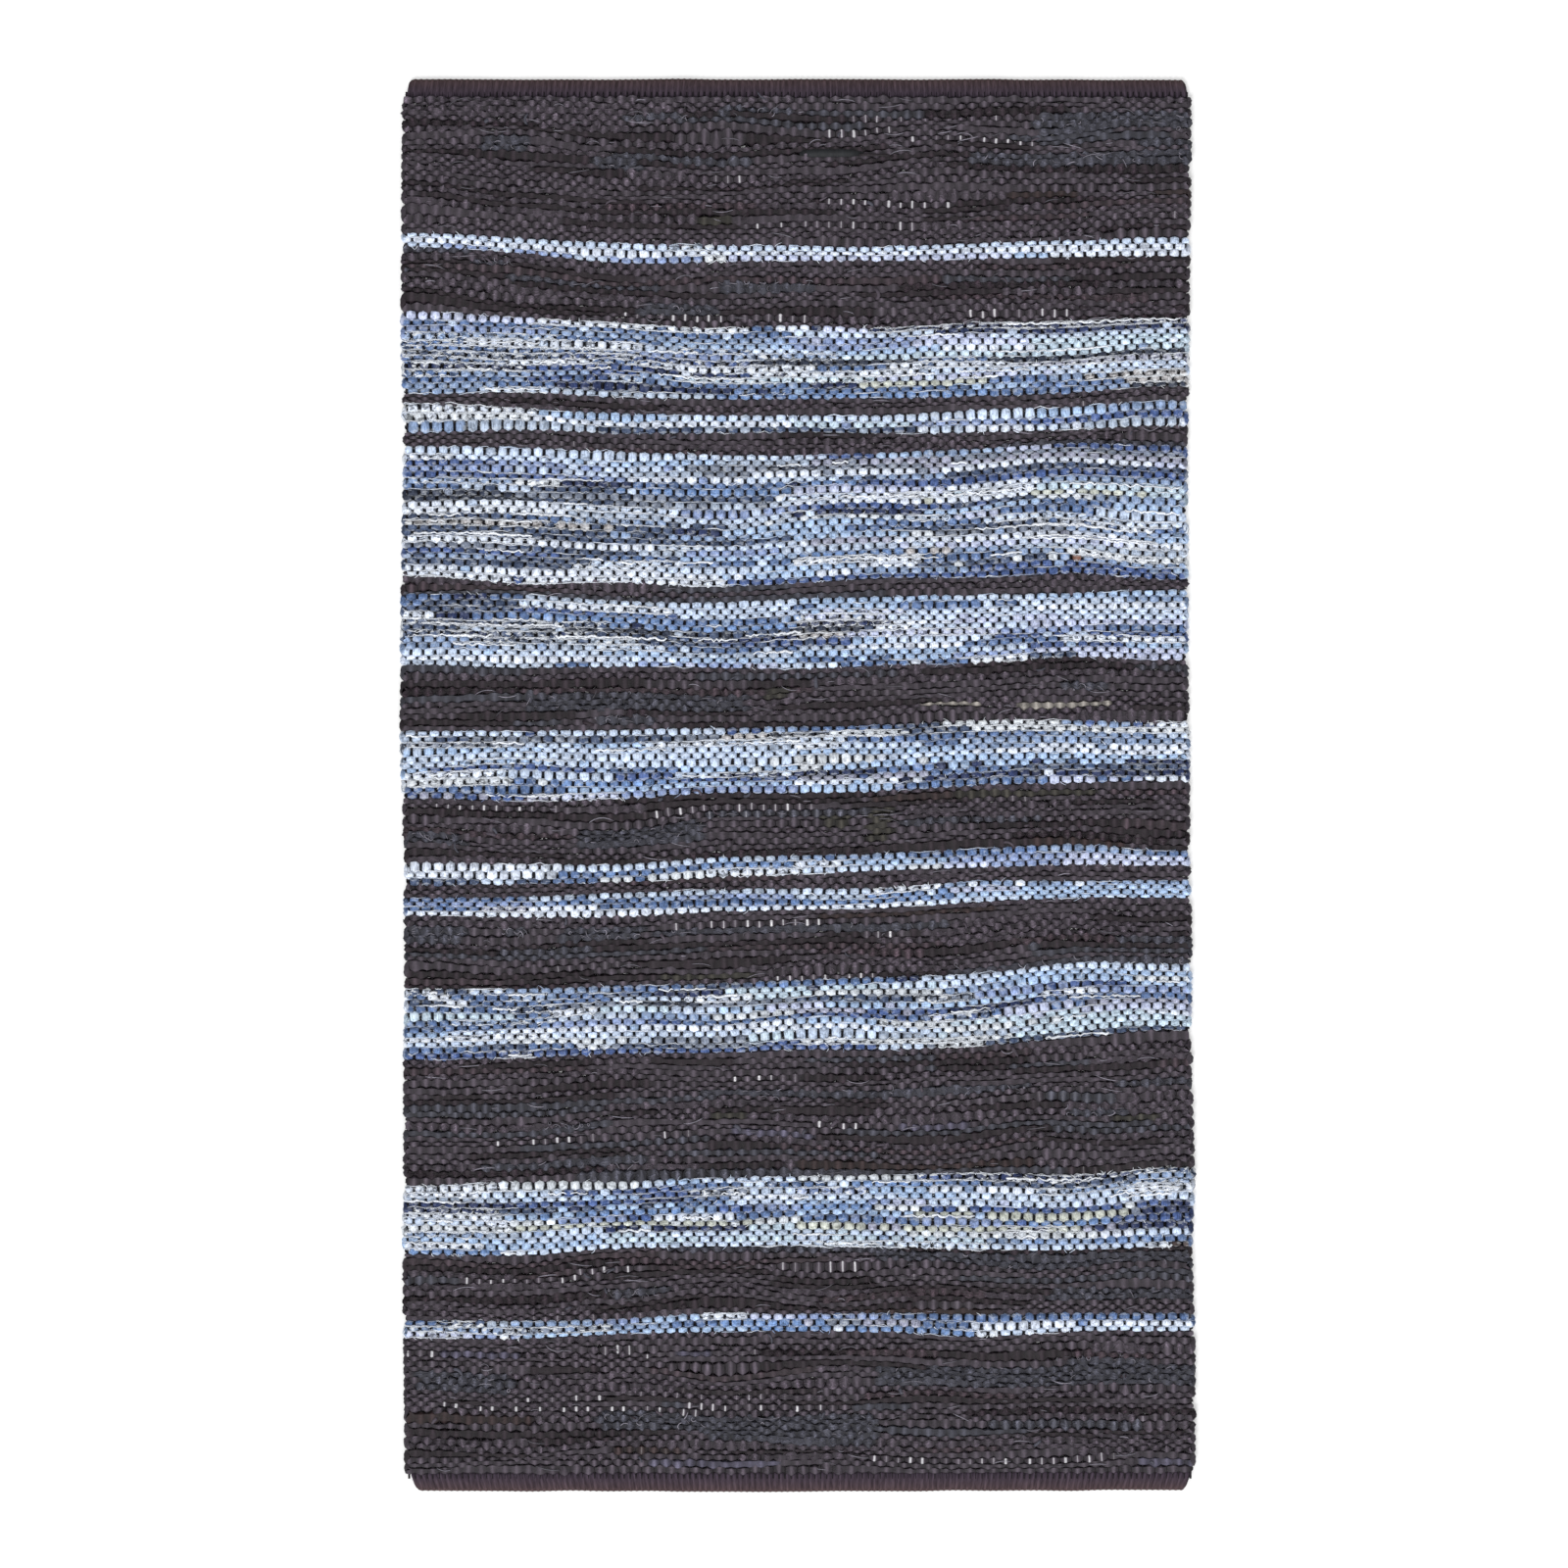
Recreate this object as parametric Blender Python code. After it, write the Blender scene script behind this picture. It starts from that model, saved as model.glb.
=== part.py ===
"""Handwoven rag rug: bands of leather and denim strips on a cotton warp, both ends turned under.

The rug lies flat, face up. +X runs across it, +Y along it towards its far end and +Z up. The
origin is on the floor under the middle of the rug. It is woven in one piece, so it is one closed
solid: a flat underside, one rib for each row of weft, selvedges that bulge out where the weft
turns back, and a thinner hem at each end where the cotton heading is folded under.
"""

from collections import namedtuple

import bmesh
import bpy

NODE_NAME = "woven_rug"

MM = 0.001

# The rug's width over its selvedges, before the unevenness in the table of sections.
RUG_WIDTH = 0.600

# Heights above the floor of a row's crown, the gap between two rows and a folded hem.
CROWN_HEIGHT = 0.0068
GAP_HEIGHT = 0.0052
HEM_HEIGHT = 0.0040

# The selvedge is round: its widest point is this high, its shoulder this far in from there.
SELVEDGE_HEIGHT = 0.0034
SHOULDER_INSET = 0.0030
SHOULDER_DROP = 0.0006
UNDERSIDE_INSET = 0.0015

# Where the weft turns the selvedge stands out, and between two turns it is drawn in.
TURN_BULGE = 0.0010
TURN_NOTCH = 0.0016

# Five stations across the rug at which the rows' waviness is given.
STATIONS = (-0.284, -0.136, 0.0, 0.140, 0.284)

# One line for each section, from the far end to the near one. The five middle columns give the
# distance in millimetres from the rug's far end to the section's near side at the five stations.
# The last two say how far the left and right selvedges stand out there, in millimetres.
Section = namedtuple(
    "Section", "strip rows left mid_left middle mid_right right left_edge right_edge"
)
SECTIONS = (
    Section("leather", 25, 118, 125, 127, 125, 121, 0.4, -0.4),
    Section("denim", 3, 128, 140, 138, 137, 135, 0.5, -0.6),
    Section("leather", 11, 177, 186, 188, 186, 182, 1.1, -1.2),
    Section("denim", 13, 240, 242, 243, 241, 234, -0.4, -1.8),
    Section("leather", 3, 247, 255, 256, 252, 245, -0.5, -2.0),
    Section("denim", 3, 269, 269, 269, 269, 264, -0.7, -2.5),
    Section("leather", 4, 279, 284, 287, 281, 279, -0.9, -2.9),
    Section("denim", 22, 377, 383, 383, 379, 380, 0.7, -2.2),
    Section("leather", 3, 392, 397, 395, 392, 389, 1.1, -1.9),
    Section("denim", 12, 445, 447, 448, 444, 441, 1.1, -2.5),
    Section("leather", 10, 496, 495, 493, 488, 489, 1.7, -1.0),
    Section("denim", 11, 547, 547, 543, 537, 534, 0.4, -1.0),
    Section("leather", 11, 596, 597, 590, 585, 587, -1.8, -0.9),
    Section("denim", 3, 613, 610, 604, 599, 598, -1.7, -0.3),
    Section("leather", 3, 622, 619, 616, 610, 609, -1.5, -0.1),
    Section("denim", 4, 636, 636, 631, 625, 622, -1.4, 0.3),
    Section("leather", 12, 692, 689, 685, 680, 673, -2.0, 0.7),
    Section("denim", 12, 745, 741, 738, 735, 723, -1.1, -0.2),
    Section("leather", 21, 841, 838, 834, 833, 827, -1.0, 3.1),
    Section("denim", 12, 893, 889, 887, 890, 887, -0.4, 0.7),
    Section("leather", 12, 944, 942, 939, 938, 938, -1.0, 2.6),
    Section("denim", 3, 957, 954, 952, 956, 951, -1.1, 3.2),
    Section("leather", 24, 1060, 1060, 1060, 1059, 1059, -2.0, 3.0),
)

# The far hem ends here, where the first row of weft begins.
FAR_HEM = Section("cotton", 0, 14, 14, 14, 14, 14, 0.0, 0.2)

# Each hem: its depth from the fold to the first row, and how far its two ends stop short of the
# selvedges, measured at the fold and where the hem meets the weft.
Hem = namedtuple("Hem", "depth left_at_fold left_at_weft right_at_fold right_at_weft")
FAR_END = Hem(14 * MM, 5.5 * MM, 3.5 * MM, 5.0 * MM, 3.0 * MM)
NEAR_END = Hem(14 * MM, 9.0 * MM, 4.5 * MM, 7.5 * MM, 3.5 * MM)

# The fold's rounded edge: distance in from the fold and height there, as shares of the hem.
FOLD_PROFILE = ((0.00, 0.35), (0.10, 0.85), (0.28, 1.00), (0.96, 0.96))

# Surface values of the three materials: colour, roughness.
Finish = namedtuple("Finish", "colour roughness")
FINISHES = {
    "leather": Finish((0.050, 0.043, 0.053), 0.50),
    "denim": Finish((0.290, 0.360, 0.450), 0.90),
    "cotton": Finish((0.040, 0.034, 0.042), 0.95),
}

# A line across the rug: where it runs, how high it is, and where its two ends are.
CrossLine = namedtuple("CrossLine", "strip along height left right")


def stations_of(section):
    """Distances from the far end of the rug, in metres, at the five stations."""
    return [
        value * MM
        for value in (section.left, section.mid_left, section.middle, section.mid_right, section.right)
    ]


def blend(first, second, share):
    """The value that lies the given share of the way from the first to the second."""
    return first + (second - first) * share


def edge_positions(far, near, share):
    """X of the left and right selvedge between a section's far and near side."""
    left = -RUG_WIDTH / 2 - blend(far.left_edge, near.left_edge, share) * MM
    right = RUG_WIDTH / 2 + blend(far.right_edge, near.right_edge, share) * MM
    return left, right


def turn_offset(turns_here):
    """How far the selvedge stands out in the gap between two rows."""
    return TURN_BULGE if turns_here else -TURN_NOTCH


def section_lines(far, near, first_row):
    """A gap line and a crown line for each row of the section that ends at its near side."""
    lines = []
    far_stations = stations_of(far)
    near_stations = stations_of(near)
    for row in range(near.rows):
        for step, height in ((0.0, GAP_HEIGHT), (0.5, CROWN_HEIGHT)):
            share = (row + step) / near.rows
            along = [blend(a, b, share) for a, b in zip(far_stations, near_stations)]
            left, right = edge_positions(far, near, share)
            if height == GAP_HEIGHT:
                right_turn = (first_row + row) % 2 == 1
                left -= turn_offset(not right_turn)
                right += turn_offset(right_turn)
            lines.append(CrossLine(near.strip, along, height, left, right))
    return lines


def hem_lines(hem, weft, direction):
    """The lines of one hem, from its fold to the first row of weft."""
    lines = []
    left_edge, right_edge = edge_positions(weft, weft, 0.0)
    for share, height_share in FOLD_PROFILE:
        offset = direction * hem.depth * (1.0 - share)
        along = [value + offset for value in stations_of(weft)]
        left = left_edge + blend(hem.left_at_fold, hem.left_at_weft, share)
        right = right_edge - blend(hem.right_at_fold, hem.right_at_weft, share)
        lines.append(CrossLine("cotton", along, HEM_HEIGHT * height_share, left, right))
    return lines


def rug_lines():
    """Every line across the rug, from the far fold to the near one."""
    lines = hem_lines(FAR_END, FAR_HEM, -1.0)
    far = FAR_HEM
    first_row = 0
    for section in SECTIONS:
        lines += section_lines(far, section, first_row)
        first_row += section.rows
        far = section
    lines += reversed(hem_lines(NEAR_END, far, 1.0))
    return lines


def ring_points(line):
    """The closed loop of points around the rug at one line: underside, then face, left to right."""
    side = min(SELVEDGE_HEIGHT, line.height / 2)
    shoulder = line.height - SHOULDER_DROP
    along_left, *along_inner, along_right = line.along
    points = [
        (line.left + UNDERSIDE_INSET, along_left, 0.0),
        (line.left, along_left, side),
        (line.left + SHOULDER_INSET, along_left, shoulder),
    ]
    points += [(x, along, line.height) for x, along in zip(STATIONS[1:-1], along_inner)]
    points += [
        (line.right - SHOULDER_INSET, along_right, shoulder),
        (line.right, along_right, side),
        (line.right - UNDERSIDE_INSET, along_right, 0.0),
    ]
    return points


def centred(loops):
    """Move the loops so that the middle of the rug's outline is at X = 0 and Y = 0, far end +Y."""
    xs = [x for loop in loops for x, _, _ in loop]
    alongs = [along for loop in loops for _, along, _ in loop]
    middle_x = (min(xs) + max(xs)) / 2
    middle_along = (min(alongs) + max(alongs)) / 2
    return [[(x - middle_x, middle_along - along, z) for x, along, z in loop] for loop in loops]


def make_material(name, finish):
    """A plain material with the strip's colour and roughness."""
    material = bpy.data.materials.new(name)
    material.use_nodes = True
    shader = material.node_tree.nodes["Principled BSDF"]
    shader.inputs["Base Color"].default_value = (*finish.colour, 1.0)
    shader.inputs["Roughness"].default_value = finish.roughness
    shader.inputs["Metallic"].default_value = 0.0
    material.diffuse_color = (*finish.colour, 1.0)
    return material


def build_rug():
    """Skin the loops into one closed solid and give each band its material."""
    lines = rug_lines()
    loops = centred([ring_points(line) for line in lines])
    strips = list(FINISHES)
    shape = bmesh.new()
    rings = [[shape.verts.new(point) for point in loop] for loop in loops]
    count = len(rings[0])
    for line, ring, next_ring in zip(lines, rings, rings[1:]):
        for k in range(count):
            after = (k + 1) % count
            face = shape.faces.new((ring[k], next_ring[k], next_ring[after], ring[after]))
            face.material_index = strips.index(line.strip)
    for ring in (rings[0], reversed(rings[-1])):
        face = shape.faces.new(tuple(ring))
        face.material_index = strips.index("cotton")
    bmesh.ops.triangulate(shape, faces=shape.faces[:])
    mesh = bpy.data.meshes.new(NODE_NAME)
    shape.to_mesh(mesh)
    shape.free()
    for name in strips:
        mesh.materials.append(make_material(f"{name}_strip", FINISHES[name]))
    rug = bpy.data.objects.new(NODE_NAME, mesh)
    bpy.context.scene.collection.objects.link(rug)
    return rug


def clear_scene():
    """Remove the objects that a new file starts with."""
    for item in list(bpy.data.objects):
        bpy.data.objects.remove(item, do_unlink=True)


def main():
    """Build the rug in an empty scene."""
    clear_scene()
    build_rug()


main()
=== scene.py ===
"""Looks of a handwoven rag rug: each woven strip, warp, folded hem and loose thread, and their finishes.

The rug lies face up on the floor. Every band of weft is one length of strip that goes to and fro
between the selvedges, over one warp and under the next. The bands' edges follow a measured table;
the dyes, hides and long threads follow charted tables. Sizes are in metres unless a name
says otherwise; "along" is the distance from the rug's far end, and "across" runs from its left
selvedge to its right one.
"""

import logging
import math
from dataclasses import dataclass, field
from enum import Enum
from typing import Any, Iterable, Sequence, Union

import bpy
import numpy as np
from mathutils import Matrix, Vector


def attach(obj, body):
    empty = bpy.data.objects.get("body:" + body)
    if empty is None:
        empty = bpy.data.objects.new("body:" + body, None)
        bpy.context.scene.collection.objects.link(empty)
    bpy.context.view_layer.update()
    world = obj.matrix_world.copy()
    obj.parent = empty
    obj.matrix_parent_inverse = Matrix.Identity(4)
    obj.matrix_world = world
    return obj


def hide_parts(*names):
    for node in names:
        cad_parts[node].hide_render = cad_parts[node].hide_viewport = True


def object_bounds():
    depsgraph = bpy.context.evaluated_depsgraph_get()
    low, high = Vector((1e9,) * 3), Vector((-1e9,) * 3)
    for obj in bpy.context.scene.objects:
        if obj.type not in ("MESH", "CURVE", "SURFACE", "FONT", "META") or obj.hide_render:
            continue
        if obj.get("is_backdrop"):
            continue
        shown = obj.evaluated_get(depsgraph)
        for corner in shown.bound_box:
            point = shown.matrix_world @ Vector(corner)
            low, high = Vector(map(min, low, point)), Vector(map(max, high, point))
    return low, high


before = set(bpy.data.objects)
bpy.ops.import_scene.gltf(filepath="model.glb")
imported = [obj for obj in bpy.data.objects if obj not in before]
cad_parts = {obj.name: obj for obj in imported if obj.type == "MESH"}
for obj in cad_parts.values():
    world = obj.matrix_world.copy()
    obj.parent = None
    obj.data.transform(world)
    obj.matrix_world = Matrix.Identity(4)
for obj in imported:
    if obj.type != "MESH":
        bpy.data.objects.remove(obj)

LOG = logging.getLogger("rug")
MM = 0.001
BODY = "root"
NODE = "woven_rug"

# The rug's width over its selvedges and the number of warps in it.
RUG_WIDTH = 0.600
WARPS = 132

# Where the nine stations of the band table lie across the rug.
STATIONS = (-0.2847, -0.2103, -0.1359, -0.0614, -0.0004, 0.0651, 0.1396, 0.2140, 0.2847)

# Each hem is this deep, from its fold to the first row of weft.
HEM_DEPTH = 0.014


class Strip(Enum):
    """What a band of weft is made of."""

    LEATHER = "leather"
    DENIM = "denim"


class Slot(Enum):
    """The record's material slots."""

    DENIM = "denim_strip"
    LEATHER = "leather_strip"
    COTTON = "cotton_warp"


# Cloths and hides, as the colours of their faces in sRGB.
CLOTHS = {
    "ice": (212, 226, 246),
    "white": (240, 244, 251),
    "sky": (176, 203, 238),
    "steel": (144, 167, 204),
    "grey_ice": (188, 200, 216),
    "seaglass": (206, 225, 233),
    "lilac": (207, 211, 238),
    "peri": (146, 164, 210),
    "cornflower": (116, 150, 204),
    "mid": (96, 124, 174),
    "royal": (78, 102, 162),
    "navy": (50, 62, 106),
    "slate": (78, 93, 125),
    "grey": (130, 137, 152),
    "charcoal": (58, 64, 82),
    "cream": (228, 229, 224),
    "khaki": (204, 203, 174),
    "tan": (188, 178, 166),
    "mauve": (172, 170, 188),
    "rust": (140, 90, 60),
    "brown": (84, 66, 58),
}
COMMON_BLUE = (128, 148, 182)
HIDES = {
    "charcoal": (77, 69, 79),
    "slate": (72, 72, 83),
    "soot": (44, 34, 42),
    "umber": (68, 56, 64),
    "sand": (166, 160, 154),
    "teal": (42, 45, 50),
    "lavender": (92, 88, 108),
    "redbrown": (56, 42, 44),
    "olive": (62, 59, 54),
}


@dataclass(frozen=True)
class Band:
    """One band of weft in a single kind of strip.

    near_mm is the distance of its near side from the rug's far end at the nine stations, and the
    two edges say how far the selvedges stand out there. chart has a line for each row of denim.
    """

    strip: Strip
    rows: int
    near_mm: tuple[float, ...]
    left_edge_mm: float
    right_edge_mm: float
    chart: tuple[str, ...] = ()


LEATHER = Strip.LEATHER
DENIM = Strip.DENIM

# The bands from the far end to the near one. In a chart, "sky:34" is sky-blue cloth up to 34 % of
# the way across the rug, and a plus sign marks cloth that frays.
BANDS = (
    Band(LEATHER, 25, (117.6, 121.3, 125.1, 126.6, 127.3, 128.0, 125.1, 122.8, 120.6), 0.4, -0.4),
    Band(DENIM, 3, (128.0, 132.5, 140.0, 139.2, 138.5, 138.5, 137.0, 135.5, 134.7), 0.5, -0.6, (
        "ice:34 ice+:40 ice:100",
        "white:100",
        "ice:5 peri:22 ice:26 peri:38 cream+:41 lilac:77 sky:83 white:100",
    )),
    Band(LEATHER, 11, (177.2, 181.6, 186.1, 189.8, 187.6, 189.8, 186.1, 184.6, 182.4), 1.1, -1.2),
    Band(DENIM, 13, (239.7, 238.2, 241.9, 243.4, 243.4, 242.7, 241.2, 238.2, 233.7), -0.4, -1.8, (
        "lilac:17 white+:44 mid:46 white:52 lilac:60 navy+:100",
        "mid:50 ice:68 navy:100",
        "peri:18 steel:50 peri:66 lilac:75 ice:100",
        "steel+:20 mid:33 sky:50 peri:64 lilac:80 seaglass:100",
        "mid+:8 white+:30 ice:36 mid+:44 ice:55 sky:68 white:80 seaglass:100",
        "mid+:30 peri:42 steel+:55 seaglass:100",
        "slate+:20 royal+:45 charcoal:66 mid+:75 charcoal:100",
        "mid+:14 white+:26 mid+:32 white+:52 mid:62 white+:78 mauve+:100",
        "navy+:16 royal:30 navy:44 white+:66 ice:100",
        "mid+:8 steel:24 royal:30 steel:36 seaglass+:60 lilac:80 ice:100",
        "mid:14 royal:26 steel+:30 mid:52 navy:58 khaki:74 mid:82 steel:86 tan+:100",
        "steel:12 mid:20 navy:40 mid:72 sky:80 mid:92 tan+:100",
        "steel:10 ice+:18 grey_ice:40 cornflower:74 mid:86 steel:92 charcoal:100",
    )),
    Band(LEATHER, 3, (247.1, 250.9, 254.6, 256.1, 256.1, 256.1, 251.6, 249.4, 244.9), -0.5, -2.0),
    Band(DENIM, 3, (268.7, 266.5, 269.5, 269.5, 268.7, 269.5, 268.7, 266.5, 263.5), -0.7, -2.5, (
        "white+:17 sky:34 ice:80 sky:90 steel:100",
        "cream+:17 white:50 seaglass:65 peri:78 royal:100",
        "steel:8 grey_ice:24 slate:66 grey_ice:72 white:80 grey_ice:100",
    )),
    Band(LEATHER, 4, (279.2, 280.6, 283.6, 285.9, 286.6, 284.4, 281.4, 276.9, 279.2), -0.9, -2.9),
    Band(DENIM, 22, (377.4, 383.4, 382.6, 385.6, 383.4, 379.7, 378.9, 375.9, 380.4), 0.7, -2.2, (
        "ice:54 royal:60 sky:66 steel:76 lilac:82 royal:100",
        "white+:6 ice:27 sky:40 grey_ice:52 mauve:70 grey:100",
        "royal:12 peri:26 ice:36 grey:46 charcoal:54 grey:66 mauve:100",
        "peri:14 ice:27 grey_ice:38 grey:45 white:96 lilac:100",
        "royal:20 peri:28 white:44 ice:56 steel:70 slate:100",
        "steel+:14 cream+:20 navy:30 mid:52 cornflower:58 royal:100",
        "mid:8 ice:17 slate:30 cornflower:50 lilac:70 white:82 steel:100",
        "charcoal:14 grey:34 slate:48 ice+:60 white+:80 seaglass:100",
        "charcoal:16 slate:27 grey:38 grey_ice:50 white:80 khaki:92 seaglass:100",
        "white:20 ice+:36 peri:50 royal:68 slate:80 cream:88 steel:100",
        "white+:19 grey_ice:36 ice:50 navy:66 sky:82 mid:90 sky:100",
        "slate:16 mid:20 steel+:34 slate:42 grey_ice:50 cream:66 ice+:70 lilac:76 mid:88 ice:100",
        "tan+:24 slate:34 navy:40 sky:60 mid:74 ice+:100",
        "slate:34 steel:44 sky:56 mid:64 slate:80 white+:96 mid:100",
        "slate:50 sky:64 cream:70 grey:84 steel:96 sky:100",
        "white+:18 white:32 grey_ice+:38 ice:50 mauve:62 white:92 sky:100",
        "grey:14 slate:30 grey_ice:36 peri:50 ice:68 lilac:92 white+:100",
        "royal:20 slate:28 mid:36 sky:50 cornflower:64 tan:70 steel:78 grey_ice:100",
        "steel:12 slate:24 ice+:34 mid:50 white+:66 mid:76 steel:84 cream+:100",
        "slate:22 white+:32 ice:46 sky:58 white:66 slate:80 cream:84 rust:86 steel:100",
        "white:40 sky:52 white:58 steel:72 royal:98 sky:100",
        "white+:42 royal:100",
    )),
    Band(LEATHER, 3, (391.6, 391.6, 396.8, 398.3, 395.3, 393.8, 392.3, 390.8, 388.6), 1.1, -1.9),
    Band(DENIM, 12, (445.2, 447.4, 446.7, 447.4, 448.1, 445.9, 443.7, 439.2, 441.4), 1.1, -2.5, (
        "mid:5 navy:11 mid:15 grey_ice:28 ice:50 sky:70 ice:80 sky:100",
        "mid:3 slate:15 ice+:20 white+:34 ice:50 mid:52 sky:64 mid:78 ice:92 steel:100",
        "slate:16 royal:24 mid:34 royal:36 ice:50 sky:54 lilac+:64 ice:80 white:100",
        "white+:4 navy:10 mid:17 cornflower:34 mid:48 steel:50 lilac+:62 ice:100",
        "slate+:26 cornflower:50 navy+:62 white+:66 lilac:84 ice:100",
        "slate:8 grey_ice:16 charcoal:38 slate:50 charcoal:60 white+:64 ice:80 lilac:100",
        "slate+:6 navy+:12 slate+:24 slate:38 navy:50 tan+:56 lilac+:76 peri:90 mid:100",
        "steel:9 slate+:20 grey_ice+:30 slate:40 royal:58 sky:62 ice:75 royal:82 ice:88 royal:100",
        "steel:12 grey_ice:24 ice+:34 mid:50 grey_ice:58 white:72 mid:84 white+:100",
        "ice:24 sky:34 grey_ice:50 sky:72 ice:80 royal:92 sky:100",
        "white:26 ice:36 sky:50 mid:62 sky:70 peri:80 lilac:100",
        "grey_ice:20 mid:24 ice:30 peri:44 lilac:48 ice:56 mid:72 white+:80 slate:86 lilac:100",
    )),
    Band(LEATHER, 10, (495.8, 495.8, 495.0, 493.5, 492.8, 491.3, 487.6, 487.6, 489.1), 1.7, -1.0),
    Band(DENIM, 11, (547.1, 548.6, 547.1, 542.7, 542.7, 541.2, 536.7, 534.5, 533.7), 0.4, -1.0, (
        "ice:42 royal:46 steel:50 mid:62 slate:68 cream+:84 steel:92 royal:94 white+:100",
        "grey_ice:4 slate:9 grey:22 slate:34 grey:41 tan+:47 charcoal+:54 cream+:64 slate:72 cream+:100",
        "grey+:14 ice:22 sky:30 white+:40 ice+:56 mid:80 steel:96 ice:100",
        "sky:18 ice:45 grey_ice:50 white+:56 ice:66 mid:72 steel:100",
        "ice:50 sky:72 steel:80 white:100",
        "ice:6 sky+:20 ice:50 cream:60 ice:72 white:100",
        "sky:4 royal:27 mid:36 sky:50 cream+:54 sky:100",
        "white+:14 ice:27 royal:35 ice:40 navy+:50 navy:60 mid:70 sky:92 navy:100",
        "cream+:14 mid:20 cornflower:36 royal:50 mauve:62 mid:78 slate:100",
        "mid:22 sky:50 white:66 navy:100",
        "royal:16 mauve+:20 lilac+:28 peri:50 sky:64 mid:82 lilac:94 white:100",
    )),
    Band(LEATHER, 11, (595.5, 597.0, 597.0, 591.8, 590.3, 588.8, 585.1, 582.1, 586.6), -1.8, -0.9),
    Band(DENIM, 3, (612.7, 611.9, 610.4, 606.7, 604.5, 601.5, 599.3, 597.0, 597.8), -1.7, -0.3, (
        "white:20 ice:38 sky:43 grey_ice:50 steel:64 mid:80 steel:94 mid:100",
        "white:19 mid:38 cornflower:50 white+:56 sky:70 peri:85 lilac:100",
        "slate:10 ice:14 slate:19 mid:24 cream:38 white+:50 ice:64 cream:68 lilac:74 peri:84 lilac:100",
    )),
    Band(LEATHER, 3, (622.3, 621.6, 618.6, 616.4, 615.6, 614.9, 609.7, 609.7, 608.9), -1.5, -0.1),
    Band(DENIM, 4, (635.7, 637.2, 636.5, 632.8, 631.3, 629.8, 625.3, 622.3, 622.3), -1.4, 0.3, (
        "mid:16 grey_ice:50 ice:60 white+:68 steel:100",
        "peri:16 mid:30 steel:34 peri:50 grey_ice:58 cornflower:70 lilac:78 sky:100",
        "mid:10 mauve+:16 white:24 mid:50 cornflower:70 sky:100",
        "white:66 ice:80 sky:100",
    )),
    Band(LEATHER, 12, (691.6, 691.6, 689.3, 687.8, 684.9, 682.6, 679.7, 671.5, 673.0), -2.0, 0.7),
    Band(DENIM, 12, (745.2, 743.7, 740.7, 740.0, 737.7, 737.7, 734.7, 728.0, 722.8), -1.1, -0.2, (
        "white+:4 slate:8 ice+:12 steel:26 mid:38 slate:44 mid:62 navy:66 ice:100",
        "mid:3 white+:6 mid:13 steel+:18 mid:26 slate:32 navy:40 seaglass:60 ice:74 sky:100",
        "slate:5 white+:8 mid:26 ice:36 white+:44 seaglass:50 cream:68 steel:78 sky:92 cream:100",
        "mid:14 slate+:20 grey:30 charcoal:38 grey:50 slate:64 grey+:72 peri:84 royal:92 sky:100",
        "seaglass:14 mid:18 white+:24 seaglass:34 ice:40 sky:46 lilac:54 sky:80 white+:88 peri:100",
        "mid:6 steel+:20 grey_ice:30 steel:40 cream:50 mauve:58 royal:70 navy:82 mid:100",
        "mid:18 peri:30 royal:36 mid:50 royal:66 mid+:76 lilac:86 mauve:100",
        "sky:4 ice:14 white:50 sky:60 cream+:70 seaglass:84 lilac:100",
        "white+:18 ice:44 white:60 ice:68 cream:80 seaglass:94 white:100",
        "ice:14 cream:26 grey_ice:32 grey:44 seaglass:50 ice:60 grey_ice:80 seaglass:100",
        "mid:9 slate:16 mid:22 white+:26 slate:36 grey:46 royal:50 cream+:78 seaglass:100",
        "royal:12 royal+:17 royal:60 ice:66 grey:68 cream+:74 slate:100",
    )),
    Band(LEATHER, 21, (841.2, 838.2, 838.2, 835.2, 833.7, 833.0, 831.5, 833.0, 827.0), -1.0, 3.1),
    Band(DENIM, 12, (893.3, 894.0, 888.8, 887.3, 886.6, 887.3, 889.6, 889.6, 887.3), -0.4, 0.7, (
        "white+:14 cream:30 ice:33 sky:37 ice:50 cream:64 royal+:70 navy+:92 slate+:100",
        "white+:10 ice:20 royal:36 mid:44 ice+:48 mid:54 ice:56 cornflower:68 mid:74 slate:92 steel:100",
        "grey_ice:12 ice:22 sky:30 royal:36 grey+:44 ice:50 peri+:58 sky:66 white:80 steel+:100",
        "navy:14 royal:30 navy:36 mid:42 white:50 ice:62 sky:70 ice:92 white+:100",
        "navy+:12 slate:26 sky:34 mid:40 ice:50 sky:58 peri:62 lilac:68 ice:100",
        "white+:12 sky:22 cornflower:40 royal:44 peri:50 cornflower:60 cream:66 royal:96 navy:100",
        "ice:10 white+:14 cream:20 peri:28 royal:32 white:40 mid:50 sky:64 khaki:90 grey:94 navy:100",
        "cream+:14 khaki:44 cream:50 mid:66 peri:76 cornflower:90 royal:100",
        "steel+:10 grey_ice:18 ice:26 navy:44 seaglass:50 khaki:76 mauve+:82 khaki+:86 mauve:90 navy:100",
        "sky:12 ice:26 seaglass:34 ice:64 cream:88 white:92 ice:100",
        "white+:10 sky:26 seaglass:50 ice:54 seaglass:74 steel:88 cornflower:96 mid:100",
        "cornflower:12 white:16 ice:50 ice+:75 ice:94 white+:97 brown:100",
    )),
    Band(LEATHER, 12, (943.9, 943.9, 942.4, 938.0, 938.7, 938.0, 938.7, 938.0, 938.0), -1.0, 2.6),
    Band(DENIM, 3, (956.6, 957.3, 953.6, 952.1, 951.4, 952.1, 955.8, 951.4, 951.4), -1.1, 3.2, (
        "mid:5 slate+:10 grey_ice:14 steel:24 peri:30 sky:38 white+:44 lilac:50 peri:60 mid:100",
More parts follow.
